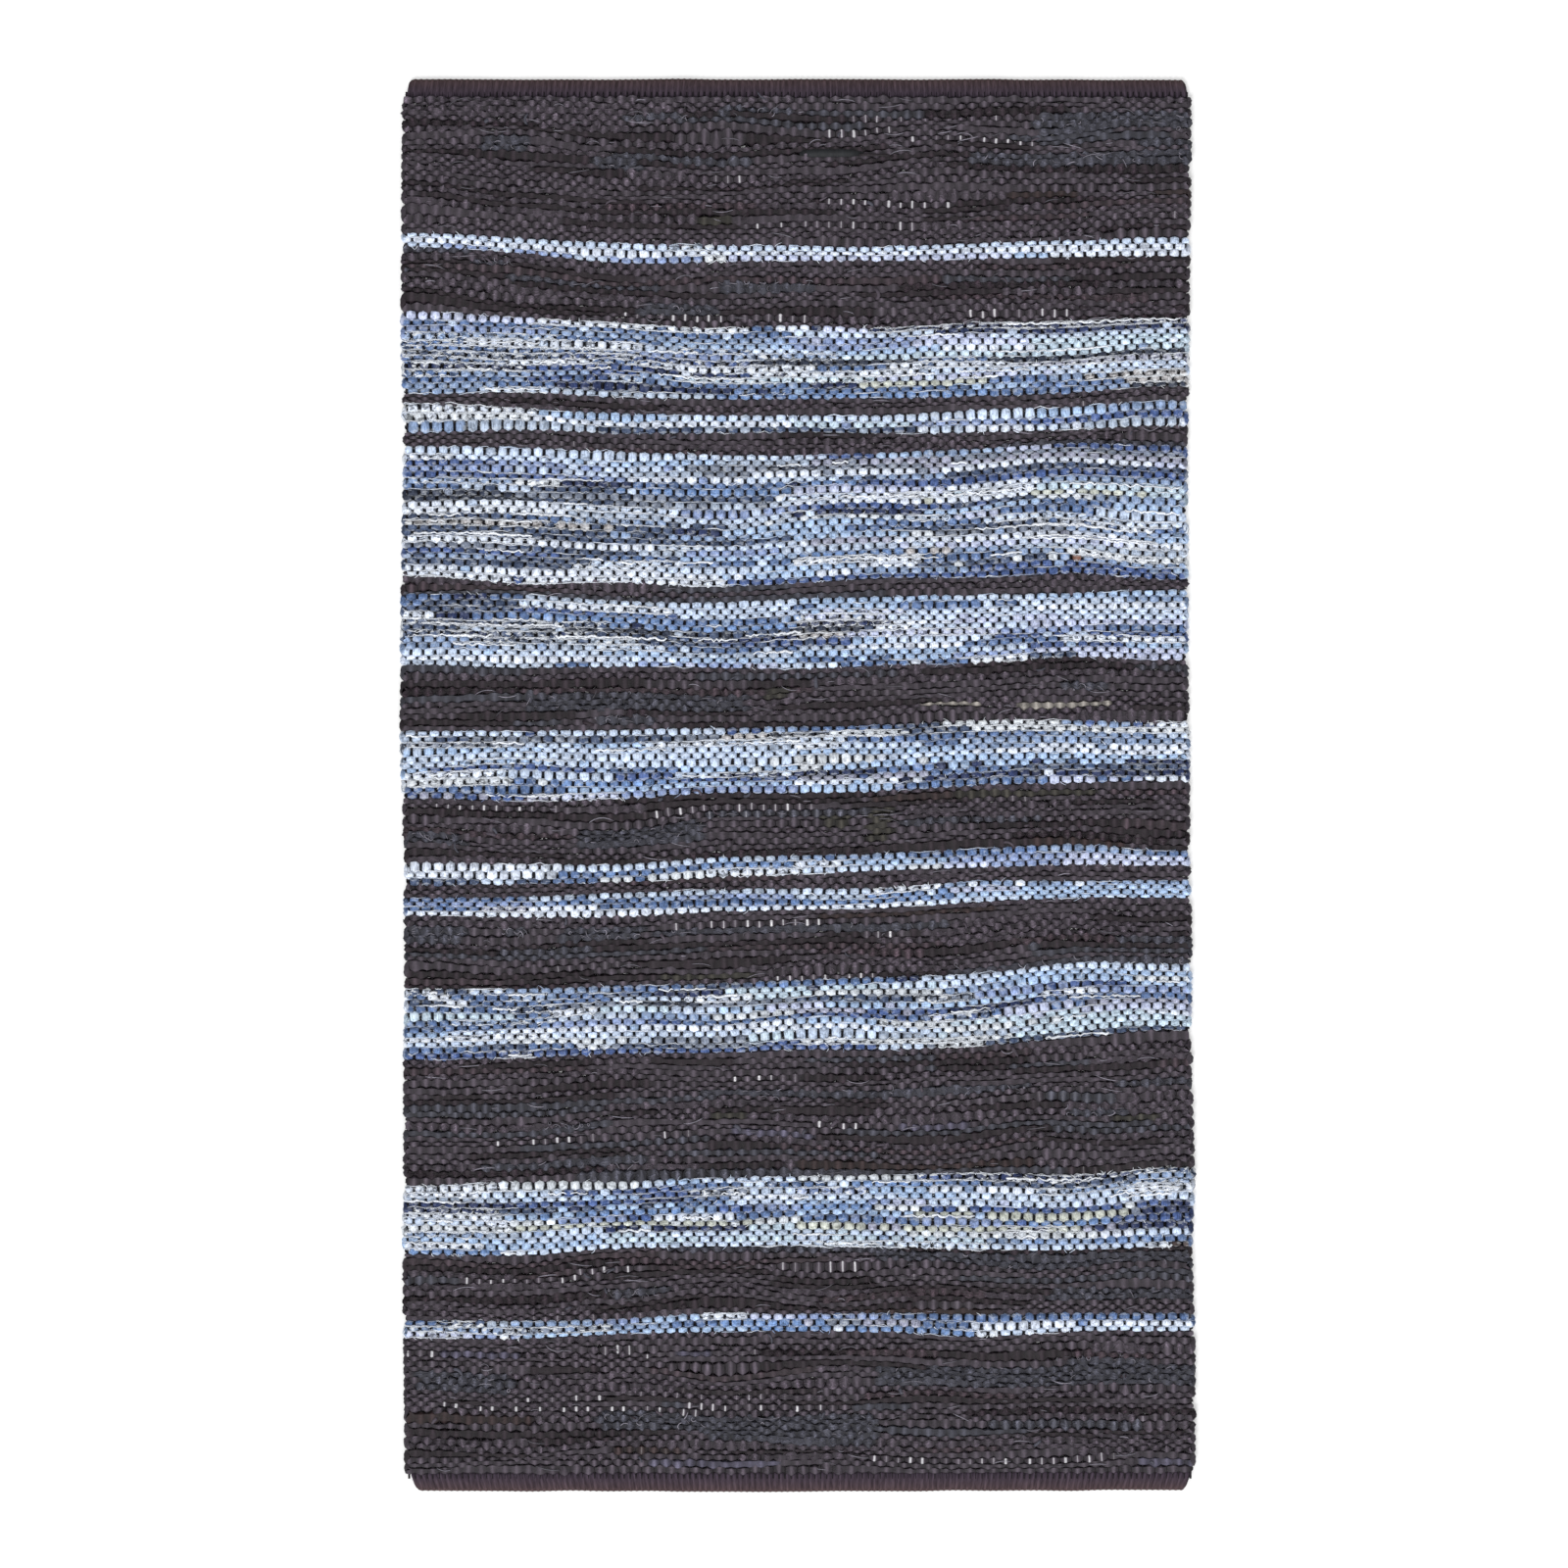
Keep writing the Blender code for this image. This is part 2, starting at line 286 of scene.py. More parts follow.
        "steel+:12 grey+:26 steel:34 mid:40 cornflower:50 grey:58 mauve:66 mid:72 white:100",
        "lilac+:8 peri:12 white+:15 sky:44 cornflower:72 white+:75 ice:100",
    )),
    Band(LEATHER, 24, (1060.0, 1060.2, 1060.0, 1060.0, 1060.0, 1059.6, 1059.4, 1059.2, 1059.0), -2.0, 3.0),
)


@dataclass(frozen=True)
class Streak:
    """A strip of one hide that stands out in a leather band.

    It runs from start to end, in per cent across the rug, in the row at along_mm, or in all the
    rows within reach_mm of there. shine is how glossy it is, from 0 to 1.
    """

    start: float
    end: float
    along_mm: float
    hide: str
    shine: float = 0.0
    reach_mm: float = 0.0


# Hides that lie in streaks: for each, its start, end, place along the rug and reach.
SLATE_STREAKS = (
    (80, 100, 32, 5), (28, 36, 30, 3), (40, 50, 24, 4), (10, 16, 50, 4), (72, 100, 62, 6),
    (24, 30, 66, 2), (30, 40, 176, 4), (40, 52, 157, 2), (9, 14, 139, 2), (16, 44, 472, 6),
    (24, 32, 486, 3), (83, 90, 462, 2), (22, 38, 576, 5), (0, 8, 577, 4), (0, 8, 650, 5),
    (12, 16, 648, 4), (20, 30, 650, 3), (32, 70, 646, 4), (70, 100, 672, 5), (38, 60, 771, 3),
    (60, 80, 768, 4), (10, 30, 825, 2), (84, 92, 785, 4), (18, 24, 796, 2), (60, 100, 898, 6),
    (82, 100, 921, 5), (26, 34, 922, 3), (60, 100, 985, 8), (2, 14, 990, 8), (24, 40, 1020, 6),
    (38, 60, 1026, 10), (83, 94, 972, 2),
)
SOOT_STREAKS = (
    (15, 34, 42, 0), (42, 56, 28, 0), (27, 33, 54, 2), (68, 80, 50, 0), (17, 28, 71, 0),
    (0, 30, 90, 0), (2, 55, 101, 2), (20, 44, 111, 2), (49, 56, 79, 0), (92, 100, 78, 0),
    (66, 76, 100, 0), (66, 72, 106, 0), (1, 14, 147, 2), (15, 30, 150, 0), (14, 22, 157, 0),
    (22, 30, 161, 0), (30, 42, 163, 3), (58, 76, 162, 2), (9, 26, 177, 3), (0, 14, 172, 0),
    (40, 60, 176, 0), (85, 100, 150, 0), (90, 100, 160, 0), (0, 20, 459, 2), (20, 31, 463, 0),
    (45, 52, 458, 2), (66, 94, 450, 2), (47, 68, 478, 0), (7, 22, 483, 0), (31, 44, 482, 0),
    (0, 14, 491, 0), (34, 58, 491, 0), (92, 100, 476, 0), (30, 58, 549, 0), (0, 14, 557, 0),
    (14, 30, 562, 0), (85, 96, 550, 0), (60, 80, 585, 0), (0, 20, 590, 0), (20, 36, 596, 0),
    (95, 100, 583, 0), (0, 12, 663, 2), (12, 30, 659, 2), (30, 38, 660, 0), (32, 44, 670, 0),
    (66, 76, 664, 0), (80, 100, 657, 2), (12, 33, 683, 0), (88, 100, 637, 0), (8, 24, 749, 2),
    (32, 42, 746, 0), (4, 9, 773, 0), (17, 32, 765, 0), (26, 33, 784, 2), (38, 60, 781, 2),
    (54, 61, 777, 3), (71, 83, 780, 2), (68, 76, 752, 2), (78, 96, 753, 0), (50, 61, 762, 0),
    (22, 28, 816, 2), (8, 22, 817, 0), (38, 48, 812, 2), (50, 76, 806, 2), (72, 82, 798, 2),
    (80, 96, 808, 0), (37, 48, 828, 2), (25, 46, 907, 0), (26, 32, 905, 2), (7, 11, 912, 0),
    (24, 38, 930, 2), (47, 60, 915, 4), (60, 72, 919, 2), (72, 82, 919, 0), (26, 38, 1001, 0),
    (48, 84, 1004, 2), (58, 78, 1004, 3), (16, 24, 982, 0), (45, 66, 975, 2), (68, 84, 974, 3),
    (5, 10, 1006, 0), (0, 16, 1046, 0), (42, 56, 1043, 0), (78, 87, 1031, 3), (88, 98, 1027, 3),
)
SHINY_STREAKS = (
    (54, 62, 43, 0), (64, 81, 44, 0), (39, 44, 79, 0), (53, 70, 95, 0), (43, 65, 112, 0),
    (28, 52, 184, 0), (72, 85, 181, 0), (6, 16, 554, 0), (32, 45, 557, 0), (45, 52, 552, 0),
    (34, 54, 640, 0), (58, 64, 650, 0), (46, 60, 684, 0), (41, 50, 759, 0), (52, 60, 797, 0),
    (11, 24, 809, 0), (33, 37, 800, 0), (22, 30, 903, 0), (44, 58, 901, 0), (8, 22, 915, 0),
    (24, 33, 967, 0), (13, 26, 1003, 2), (5, 40, 1009, 2), (36, 57, 1008, 0), (58, 90, 1049, 0),
    (92, 97, 1016, 0), (0, 6, 970, 0),
)
OTHER_STREAKS = (
    Streak(38, 42, 111, "olive"), Streak(76, 86, 86, "redbrown"), Streak(95, 100, 88, "redbrown"),
    Streak(46, 49, 468, "olive", reach_mm=5), Streak(67, 74, 476, "sand"),
    Streak(78, 90, 475, "sand"), Streak(60, 70, 546, "redbrown"), Streak(70, 88, 543, "olive"),
    Streak(53, 57, 563, "olive", reach_mm=2), Streak(59, 62, 565, "olive", reach_mm=12),
    Streak(80, 92, 577, "redbrown"), Streak(32, 44, 681, "olive"), Streak(53, 75, 634, "redbrown"),
    Streak(41, 52, 800, "lavender", 0.3), Streak(62, 72, 796, "lavender", 0.3),
    Streak(39, 44, 788, "olive"), Streak(50, 80, 828, "redbrown"), Streak(90, 96, 792, "olive"),
    Streak(58, 75, 935, "redbrown"), Streak(5, 15, 970, "lavender"),
    Streak(34, 39, 967, "lavender"), Streak(0, 16, 1021, "redbrown", reach_mm=2),
    Streak(26, 36, 1042, "redbrown", 0.6), Streak(31, 48, 1050, "lavender", 0.3),
    Streak(93, 100, 1050, "lavender", 0.3),
)


def streaks_of(hide: str, shine: float, table: Iterable[Sequence[float]]) -> tuple[Streak, ...]:
    """Make the streaks of one hide.

    Args:
        hide: Its name.
        shine: How glossy it is.
        table: Start, end, place along the rug and reach of each streak.

    Returns:
        The streaks.
    """
    return tuple(Streak(start, end, along, hide, shine, reach) for start, end, along, reach in table)


STREAKS = (
    streaks_of("slate", 0.0, SLATE_STREAKS)
    + streaks_of("soot", 0.1, SOOT_STREAKS)
    + streaks_of("charcoal", 1.0, SHINY_STREAKS)
    + OTHER_STREAKS
)


@dataclass(frozen=True)
class Patch:
    """A smooth flap of hide on the face of a leather band, measured from the left selvedge."""

    left: float
    right: float
    along: float
    width: float
    hide: str
    droop: float = 0.0


PATCHES = (
    Patch(0.302, 0.351, 0.0570, 0.0088, "teal"),
    Patch(0.345, 0.374, 0.0580, 0.0030, "soot", 0.0010),
)


# Long white threads on the denim: where each starts and ends, in per cent across the rug, and its
# place along the rug in millimetres.
LONG_THREADS = (
    (1, 5, 216), (6, 18, 200), (22, 26, 205), (31, 38, 208), (17, 21, 215), (23, 27, 219.7),
    (31, 34, 219.6), (32, 44, 228), (8, 12, 221), (10, 18, 236), (76, 99, 185), (63, 71, 195),
    (74, 90, 207), (86, 90, 216), (58, 68, 225.5), (70, 80, 222), (70, 76, 227), (9, 12, 299),
    (18, 26, 305), (47, 51, 294), (54, 57, 292), (69, 72, 292), (20, 24, 323), (3, 8, 331.5),
    (14, 22, 331.5), (3, 6, 336), (10, 17, 336), (1, 17, 345.5), (10, 16, 359), (22, 26, 365),
    (27, 32, 368), (35, 40, 368), (55, 66, 317.5), (68, 81, 314), (72, 93, 338.5), (78, 96, 348),
    (79, 96, 350), (49, 69, 364), (74, 79, 361), (84, 99, 309), (91, 99, 330), (92, 96, 366),
    (86, 92, 363), (25, 33, 401), (0, 3, 410), (11, 18, 411), (2, 21, 415), (38, 41, 416),
    (19, 34, 424.5), (1, 12, 423), (37, 43, 426.5), (43, 51, 422), (6, 15, 430), (44, 50, 436),
    (0, 4, 500), (11, 16, 505), (41, 51, 504), (24, 34, 510), (3, 7, 529), (3, 6, 532),
    (10, 20, 545), (35, 40, 530), (3, 5, 695), (13, 18, 696), (32, 39, 692), (3, 8, 705),
    (11, 15, 707), (27, 31, 701), (13, 17, 742), (37, 43, 697), (84, 94, 697), (95, 99, 686),
    (82, 87, 713), (69, 75, 708), (81, 90, 726.5), (53, 57, 729), (0, 8, 853), (8, 12, 846),
    (18, 24, 847), (2, 7, 868), (12, 15, 868), (0, 9, 885), (12, 15, 892), (35, 41, 865),
    (40, 44, 847), (27, 32, 875), (76, 89, 836.5), (90, 99, 842), (89, 99, 845), (91, 98, 848),
    (49, 57, 878), (53, 61, 885), (63, 73, 864), (76, 83, 875), (49, 52, 850), (59, 65, 838),
    (96, 98, 886), (76, 81, 880),
)


@dataclass(frozen=True)
class Run:
    """Cloth of one colour along part of a row, up to end per cent across the rug."""

    cloth: str
    end: float
    frayed: bool


def read_runs(line: str) -> list[Run]:
    """Read a line of a chart.

    Args:
        line: Words such as "sky:34" or "white+:100".

    Returns:
        The runs, from the left selvedge to the right one.
    """
    runs = []
    for word in line.split():
        cloth, end = word.split(":")
        runs.append(Run(cloth.rstrip("+"), float(end), cloth.endswith("+")))
    return runs


def linear(colour: Sequence[float]) -> np.ndarray:
    """The scene-linear value of an sRGB colour given from 0 to 255."""
    share = np.asarray(colour, dtype=float) / 255.0
    return np.where(share <= 0.04045, share / 12.92, ((share + 0.055) / 1.055) ** 2.4)


def dye(name: str, wash: float = 0.22, depth: float = 0.81) -> np.ndarray:
    """The scene-linear colour of a cloth, drawn towards the blue that all of them share."""
    weights = np.array([0.2126, 0.7152, 0.0722])
    colour = linear(CLOTHS[name])
    blue = linear(COMMON_BLUE)
    blue = blue * (colour @ weights) / (blue @ weights)
    return (colour * (1.0 - wash) + blue * wash) * depth


def wander(rng: np.random.Generator, at: np.ndarray, spacing: float, size: float) -> np.ndarray:
    """Smooth random values along a line.

    Args:
        rng: Source of random numbers.
        at: Places along the line.
        spacing: Distance between two knots of the curve.
        size: Standard deviation of the values.

    Returns:
        One value for each place.
    """
    low = float(at.min())
    knots = int(math.ceil((float(at.max()) - low) / spacing)) + 2
    values = rng.normal(0.0, size, knots)
    place = (at - low) / spacing
    index = np.minimum(place.astype(int), knots - 2)
    share = place - index
    share = share * share * (3.0 - 2.0 * share)
    return values[index] * (1.0 - share) + values[index + 1] * share


def smooth_curve(at: np.ndarray, knots: Sequence[float], values: Sequence[float]) -> np.ndarray:
    """A curve through knots whose slope has no jumps, level beyond its two ends.

    Args:
        at: Places to read the curve at.
        knots: Rising places of the knots.
        values: The curve's values there.

    Returns:
        One value for each place.
    """
    knot = np.asarray(knots)
    value = np.asarray(values)
    slope = np.gradient(value, knot)
    slope[0] = 0.0
    slope[-1] = 0.0
    place = np.clip(at, knot[0], knot[-1])
    index = np.clip(np.searchsorted(knot, place) - 1, 0, len(knot) - 2)
    gap = knot[index + 1] - knot[index]
    t = (place - knot[index]) / gap
    rise = (2 * t**3 - 3 * t**2 + 1) * value[index] + (3 * t**2 - 2 * t**3) * value[index + 1]
    return rise + gap * ((t**3 - 2 * t**2 + t) * slope[index] + (t**3 - t**2) * slope[index + 1])


@dataclass
class Row:
    """One row of weft: its number from the far end, and its place and height at each warp."""

    number: int
    along: np.ndarray
    height: np.ndarray
    x: np.ndarray

    @property
    def heads_right(self) -> bool:
        """Whether the strip was thrown from the left selvedge to the right one."""
        return self.number % 2 == 0


@dataclass
class Loom:
    """Places of the warps and rows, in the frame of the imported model."""

    low: Vector
    high: Vector
    turn_bulge: float = 0.0010
    warp_inset: float = 0.0036
    warp_jitter: float = 0.00022
    seed: int = 41
    row_spread: dict[Strip, float] = field(
        default_factory=lambda: {Strip.DENIM: 0.19, Strip.LEATHER: 0.30}
    )

    def __post_init__(self) -> None:
        """Work out the sideways shift of the tables and how evenly the warps were threaded."""
        widest = max(band.right_edge_mm for band in BANDS) * MM
        self.shift = self.high.x - (RUG_WIDTH / 2 + widest + self.turn_bulge)
        self.rng = np.random.default_rng(self.seed)
        self.jitter = self.rng.normal(0.0, self.warp_jitter, WARPS)
        self.lines_mm = [np.full(len(STATIONS), HEM_DEPTH / MM)]
        self.lines_mm += [np.asarray(band.near_mm) for band in BANDS]
        self.edge_along = np.array([line.mean() * MM for line in self.lines_mm])
        self.left_out = np.array([0.0] + [band.left_edge_mm for band in BANDS]) * MM
        self.right_out = np.array([0.2] + [band.right_edge_mm for band in BANDS]) * MM

    def left(self, along: np.ndarray) -> np.ndarray:
        """X of the left selvedge."""
        return self.shift - RUG_WIDTH / 2 - np.interp(along, self.edge_along, self.left_out)

    def right(self, along: np.ndarray) -> np.ndarray:
        """X of the right selvedge."""
        return self.shift + RUG_WIDTH / 2 + np.interp(along, self.edge_along, self.right_out)

    def warp_x(self, index: np.ndarray, along: np.ndarray) -> np.ndarray:
        """X of the warps given, at the places given along the rug."""
        left = self.left(along) + self.warp_inset
        right = self.right(along) - self.warp_inset
        return left + (right - left) * index / (WARPS - 1) + self.jitter[index]

    def y(self, along: Union[float, np.ndarray]) -> Union[float, np.ndarray]:
        """Y of a place along the rug."""
        return self.high.y - along

    def rows(self) -> list[list[Row]]:
        """Share each band's depth out among its rows.

        Returns:
            For each band, its rows from the far side to the near one.
        """
        nominal = np.linspace(-1.0, 1.0, WARPS) * (RUG_WIDTH / 2 - self.warp_inset)
        warps = np.arange(WARPS)
        all_rows = []
        number = 0
        for line, next_line, band in zip(self.lines_mm, self.lines_mm[1:], BANDS):
            far = smooth_curve(nominal, STATIONS, line * MM)
            near = smooth_curve(nominal, STATIONS, next_line * MM)
            spread = self.row_spread[band.strip]
            weights = np.array(
                [np.exp(wander(self.rng, nominal, 0.08, spread)) for _ in range(band.rows)]
            )
            shares = np.cumsum(weights, axis=0) / weights.sum(axis=0)
            shares = np.vstack([np.zeros(WARPS), shares])
            rows = []
            for first, second in zip(shares, shares[1:]):
                along = far + (near - far) * (first + second) / 2
                height = (near - far) * (second - first)
                rows.append(Row(number, along, height, self.warp_x(warps, along)))
                number += 1
            all_rows.append(rows)
        return all_rows


@dataclass
class TubeMesh:
    """Closed tubes with the same number of stations and sides, gathered into one mesh.

    rings holds the points, as tube, station, side and axis. tone is their colour and trim their
    two finish values, such as how frayed and how shiny the surface is there. length is the
    distance of each station along its tube and girth the tube's usual way round. The lines of
    points named in crisp are sharp edges.
    """

    rings: np.ndarray
    tone: np.ndarray
    trim: np.ndarray
    length: np.ndarray
    girth: float
    folds: int = 1
    columns: int = 1
    crisp: tuple[int, ...] = ()

    def faces(self) -> tuple[np.ndarray, np.ndarray]:
        """The tubes' quads and their end faces, as vertex numbers."""
        tubes, stations, sides = self.rings.shape[:3]
        number = np.arange(tubes * stations * sides).reshape(tubes, stations, sides)
        after = np.roll(number, -1, axis=2)
        quads = np.stack(
            [number[:, :-1], after[:, :-1], after[:, 1:], number[:, 1:]], axis=-1
        ).reshape(-1, 4)
        ends = np.stack([number[:, 0, ::-1], number[:, -1]], axis=1).reshape(-1, sides)
        return quads, ends

    def strand_map(self) -> np.ndarray:
        """For each face corner, its distance along the tube and round it, in metres."""
        tubes, stations, sides = self.rings.shape[:3]
        shape = (tubes, stations - 1, sides)
        start = np.broadcast_to(self.length[:, :-1, None], shape)
        stop = np.broadcast_to(self.length[:, 1:, None], shape)
        turn = np.broadcast_to(np.arange(sides)[None, None, :] * self.girth / sides, shape)
        step = self.girth / sides
        quads = np.stack(
            [start, turn, start, turn + step, stop, turn + step, stop, turn], axis=-1
        ).reshape(-1, 2)
        angle = np.arange(sides) * 2 * math.pi / sides
        ring = np.stack([np.cos(angle), np.sin(angle)], axis=-1) * self.girth / 8
        ends = np.broadcast_to(ring, (tubes * 2, sides, 2)).reshape(-1, 2)
        return np.vstack([quads, ends])

    def flat_map(self) -> np.ndarray:
        """A map without overlaps: the folded lengths of the tubes lie side by side."""
        tubes, stations, sides = self.rings.shape[:3]
        reach = math.ceil((stations - 1) / self.folds)
        station = np.arange(stations - 1)
        cell = np.arange(tubes)[:, None] * self.folds + (station // reach)[None, :]
        lines = math.ceil(tubes * self.folds / self.columns)
        column = (cell % self.columns)[:, :, None]
        line = (cell // self.columns)[:, :, None]
        inside = (station % reach)[None, :, None]
        side = np.arange(sides)[None, None, :]
        height = 1.0 / (lines + 1)

        def across(step: int) -> np.ndarray:
            """Place of a corner along its cell."""
            return (column + 0.01 + 0.98 * (inside + step) / reach) / self.columns + 0 * side

        def upward(step: int) -> np.ndarray:
            """Place of a corner round its tube."""
            return (line + 0.04 + 0.92 * (side + step) / sides) * height + 0 * inside

        quads = np.stack(
            [across(0), upward(0), across(0), upward(1), across(1), upward(1), across(1), upward(0)],
            axis=-1,
        ).reshape(-1, 2)
        angle = np.arange(sides) * 2 * math.pi / sides
        ring = np.stack([np.cos(angle) * 0.3 / (2 * tubes), np.sin(angle) * 0.3 * height], axis=-1)
        middle = np.stack(
            [(np.arange(2 * tubes) + 0.5) / (2 * tubes), np.full(2 * tubes, 1 - height / 2)], axis=-1
        )
        ends = (middle[:, None, :] + ring[None, :, :]).reshape(-1, 2)
        return np.vstack([quads, ends])

    def build(self, name: str) -> bpy.types.Object:
        """Make the mesh object.

        Args:
            name: The piece's name.

        Returns:
            The object, linked to the scene.
        """
        quads, ends = self.faces()
        sides = self.rings.shape[2]
        corners = np.concatenate([quads.ravel(), ends.ravel()]).astype(np.int32)
        starts = np.concatenate(
            [np.arange(len(quads)) * 4, quads.size + np.arange(len(ends)) * sides]
        ).astype(np.int32)
        mesh = bpy.data.meshes.new(name)
        mesh.vertices.add(self.rings.size // 3)
        mesh.vertices.foreach_set("co", self.rings.astype(np.float32).ravel())
        mesh.loops.add(len(corners))
        mesh.loops.foreach_set("vertex_index", corners)
        mesh.polygons.add(len(starts))
        mesh.polygons.foreach_set("loop_start", starts)
        mesh.update(calc_edges=True)
        for map_name, values in (("OFBake", self.flat_map()), ("Strand", self.strand_map())):
            layer = mesh.uv_layers.new(name=map_name)
            layer.data.foreach_set("uv", values.astype(np.float32).ravel())
        tone = mesh.color_attributes.new("Tone", "FLOAT_COLOR", "POINT")
        rgba = np.concatenate([self.tone, np.ones(self.tone.shape[:-1] + (1,))], axis=-1)
        tone.data.foreach_set("color", rgba.astype(np.float32).ravel())
        for number, label in enumerate(("Worn", "Shine")):
            value = mesh.attributes.new(label, "FLOAT", "POINT")
            value.data.foreach_set("value", self.trim[..., number].astype(np.float32).ravel())
        mesh.shade_smooth()
        if self.crisp:
            ends = np.empty(len(mesh.edges) * 2, dtype=np.int32)
            mesh.edges.foreach_get("vertices", ends)
            line = ends.reshape(-1, 2) % sides
            lengthwise = (line[:, 0] == line[:, 1]) & np.isin(line[:, 0], self.crisp)
            sharp = mesh.attributes.new("sharp_edge", "BOOLEAN", "EDGE")
            sharp.data.foreach_set("value", lengthwise)
        piece = bpy.data.objects.new(name, mesh)
        bpy.context.scene.collection.objects.link(piece)
        return piece


# A strand's section: how far each side lies from its middle line, as a share of its half width, how
# far that moves when the strand rolls over, and its height between the underside and the top.
SIX_SIDES = (
    (-0.60, -1.0, 0.0), (0.60, -1.0, 0.0), (1.0, 0.0, 0.5), (0.68, 1.0, 1.0), (-0.68, 1.0, 1.0),
    (-1.0, 0.0, 0.5),
)
FIVE_SIDES = (
    (0.0, -1.0, 0.0), (1.0, 0.0, 0.5), (0.70, 1.0, 1.0), (-0.70, 1.0, 1.0), (-1.0, 0.0, 0.5),
)


def strand_rings(
    section: Sequence[tuple[float, float, float]],
    centre: np.ndarray,
    half_width: np.ndarray,
    top: np.ndarray,
    bottom: np.ndarray,
    roll: np.ndarray,
) -> np.ndarray:
    """Rings along a strand that lies flat.

    Args:
        section: The strand's section.
        centre: X and Y of each station.
        half_width: Half the strand's width there.
        top: Height of its upper side.
        bottom: Height of its underside.
        roll: How far its ridge leans to one side, as a share of the half width.

    Returns:
        The rings, as tube, station, side and axis. The first side is on the underside.
    """
    heading = np.gradient(centre, axis=0)
    heading /= np.linalg.norm(heading, axis=1, keepdims=True)
    sideways = np.stack([-heading[:, 1], heading[:, 0]], axis=1)
    rings = []
    for offset, lean, level in section:
        place = centre + sideways * (half_width * (offset + lean * roll))[:, None]
        rings.append(np.column_stack([place, bottom + (top - bottom) * level]))
    return np.stack(rings, axis=1)[None]


def join_rug(piece: bpy.types.Object, finish: bpy.types.Material, slot: Slot) -> None:
    """Args:
        piece: The piece.
        finish: Its material.
        slot: The record's slot for it; not used.
    """
    piece.data.materials.append(finish)
    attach(piece, BODY)
    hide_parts(NODE)


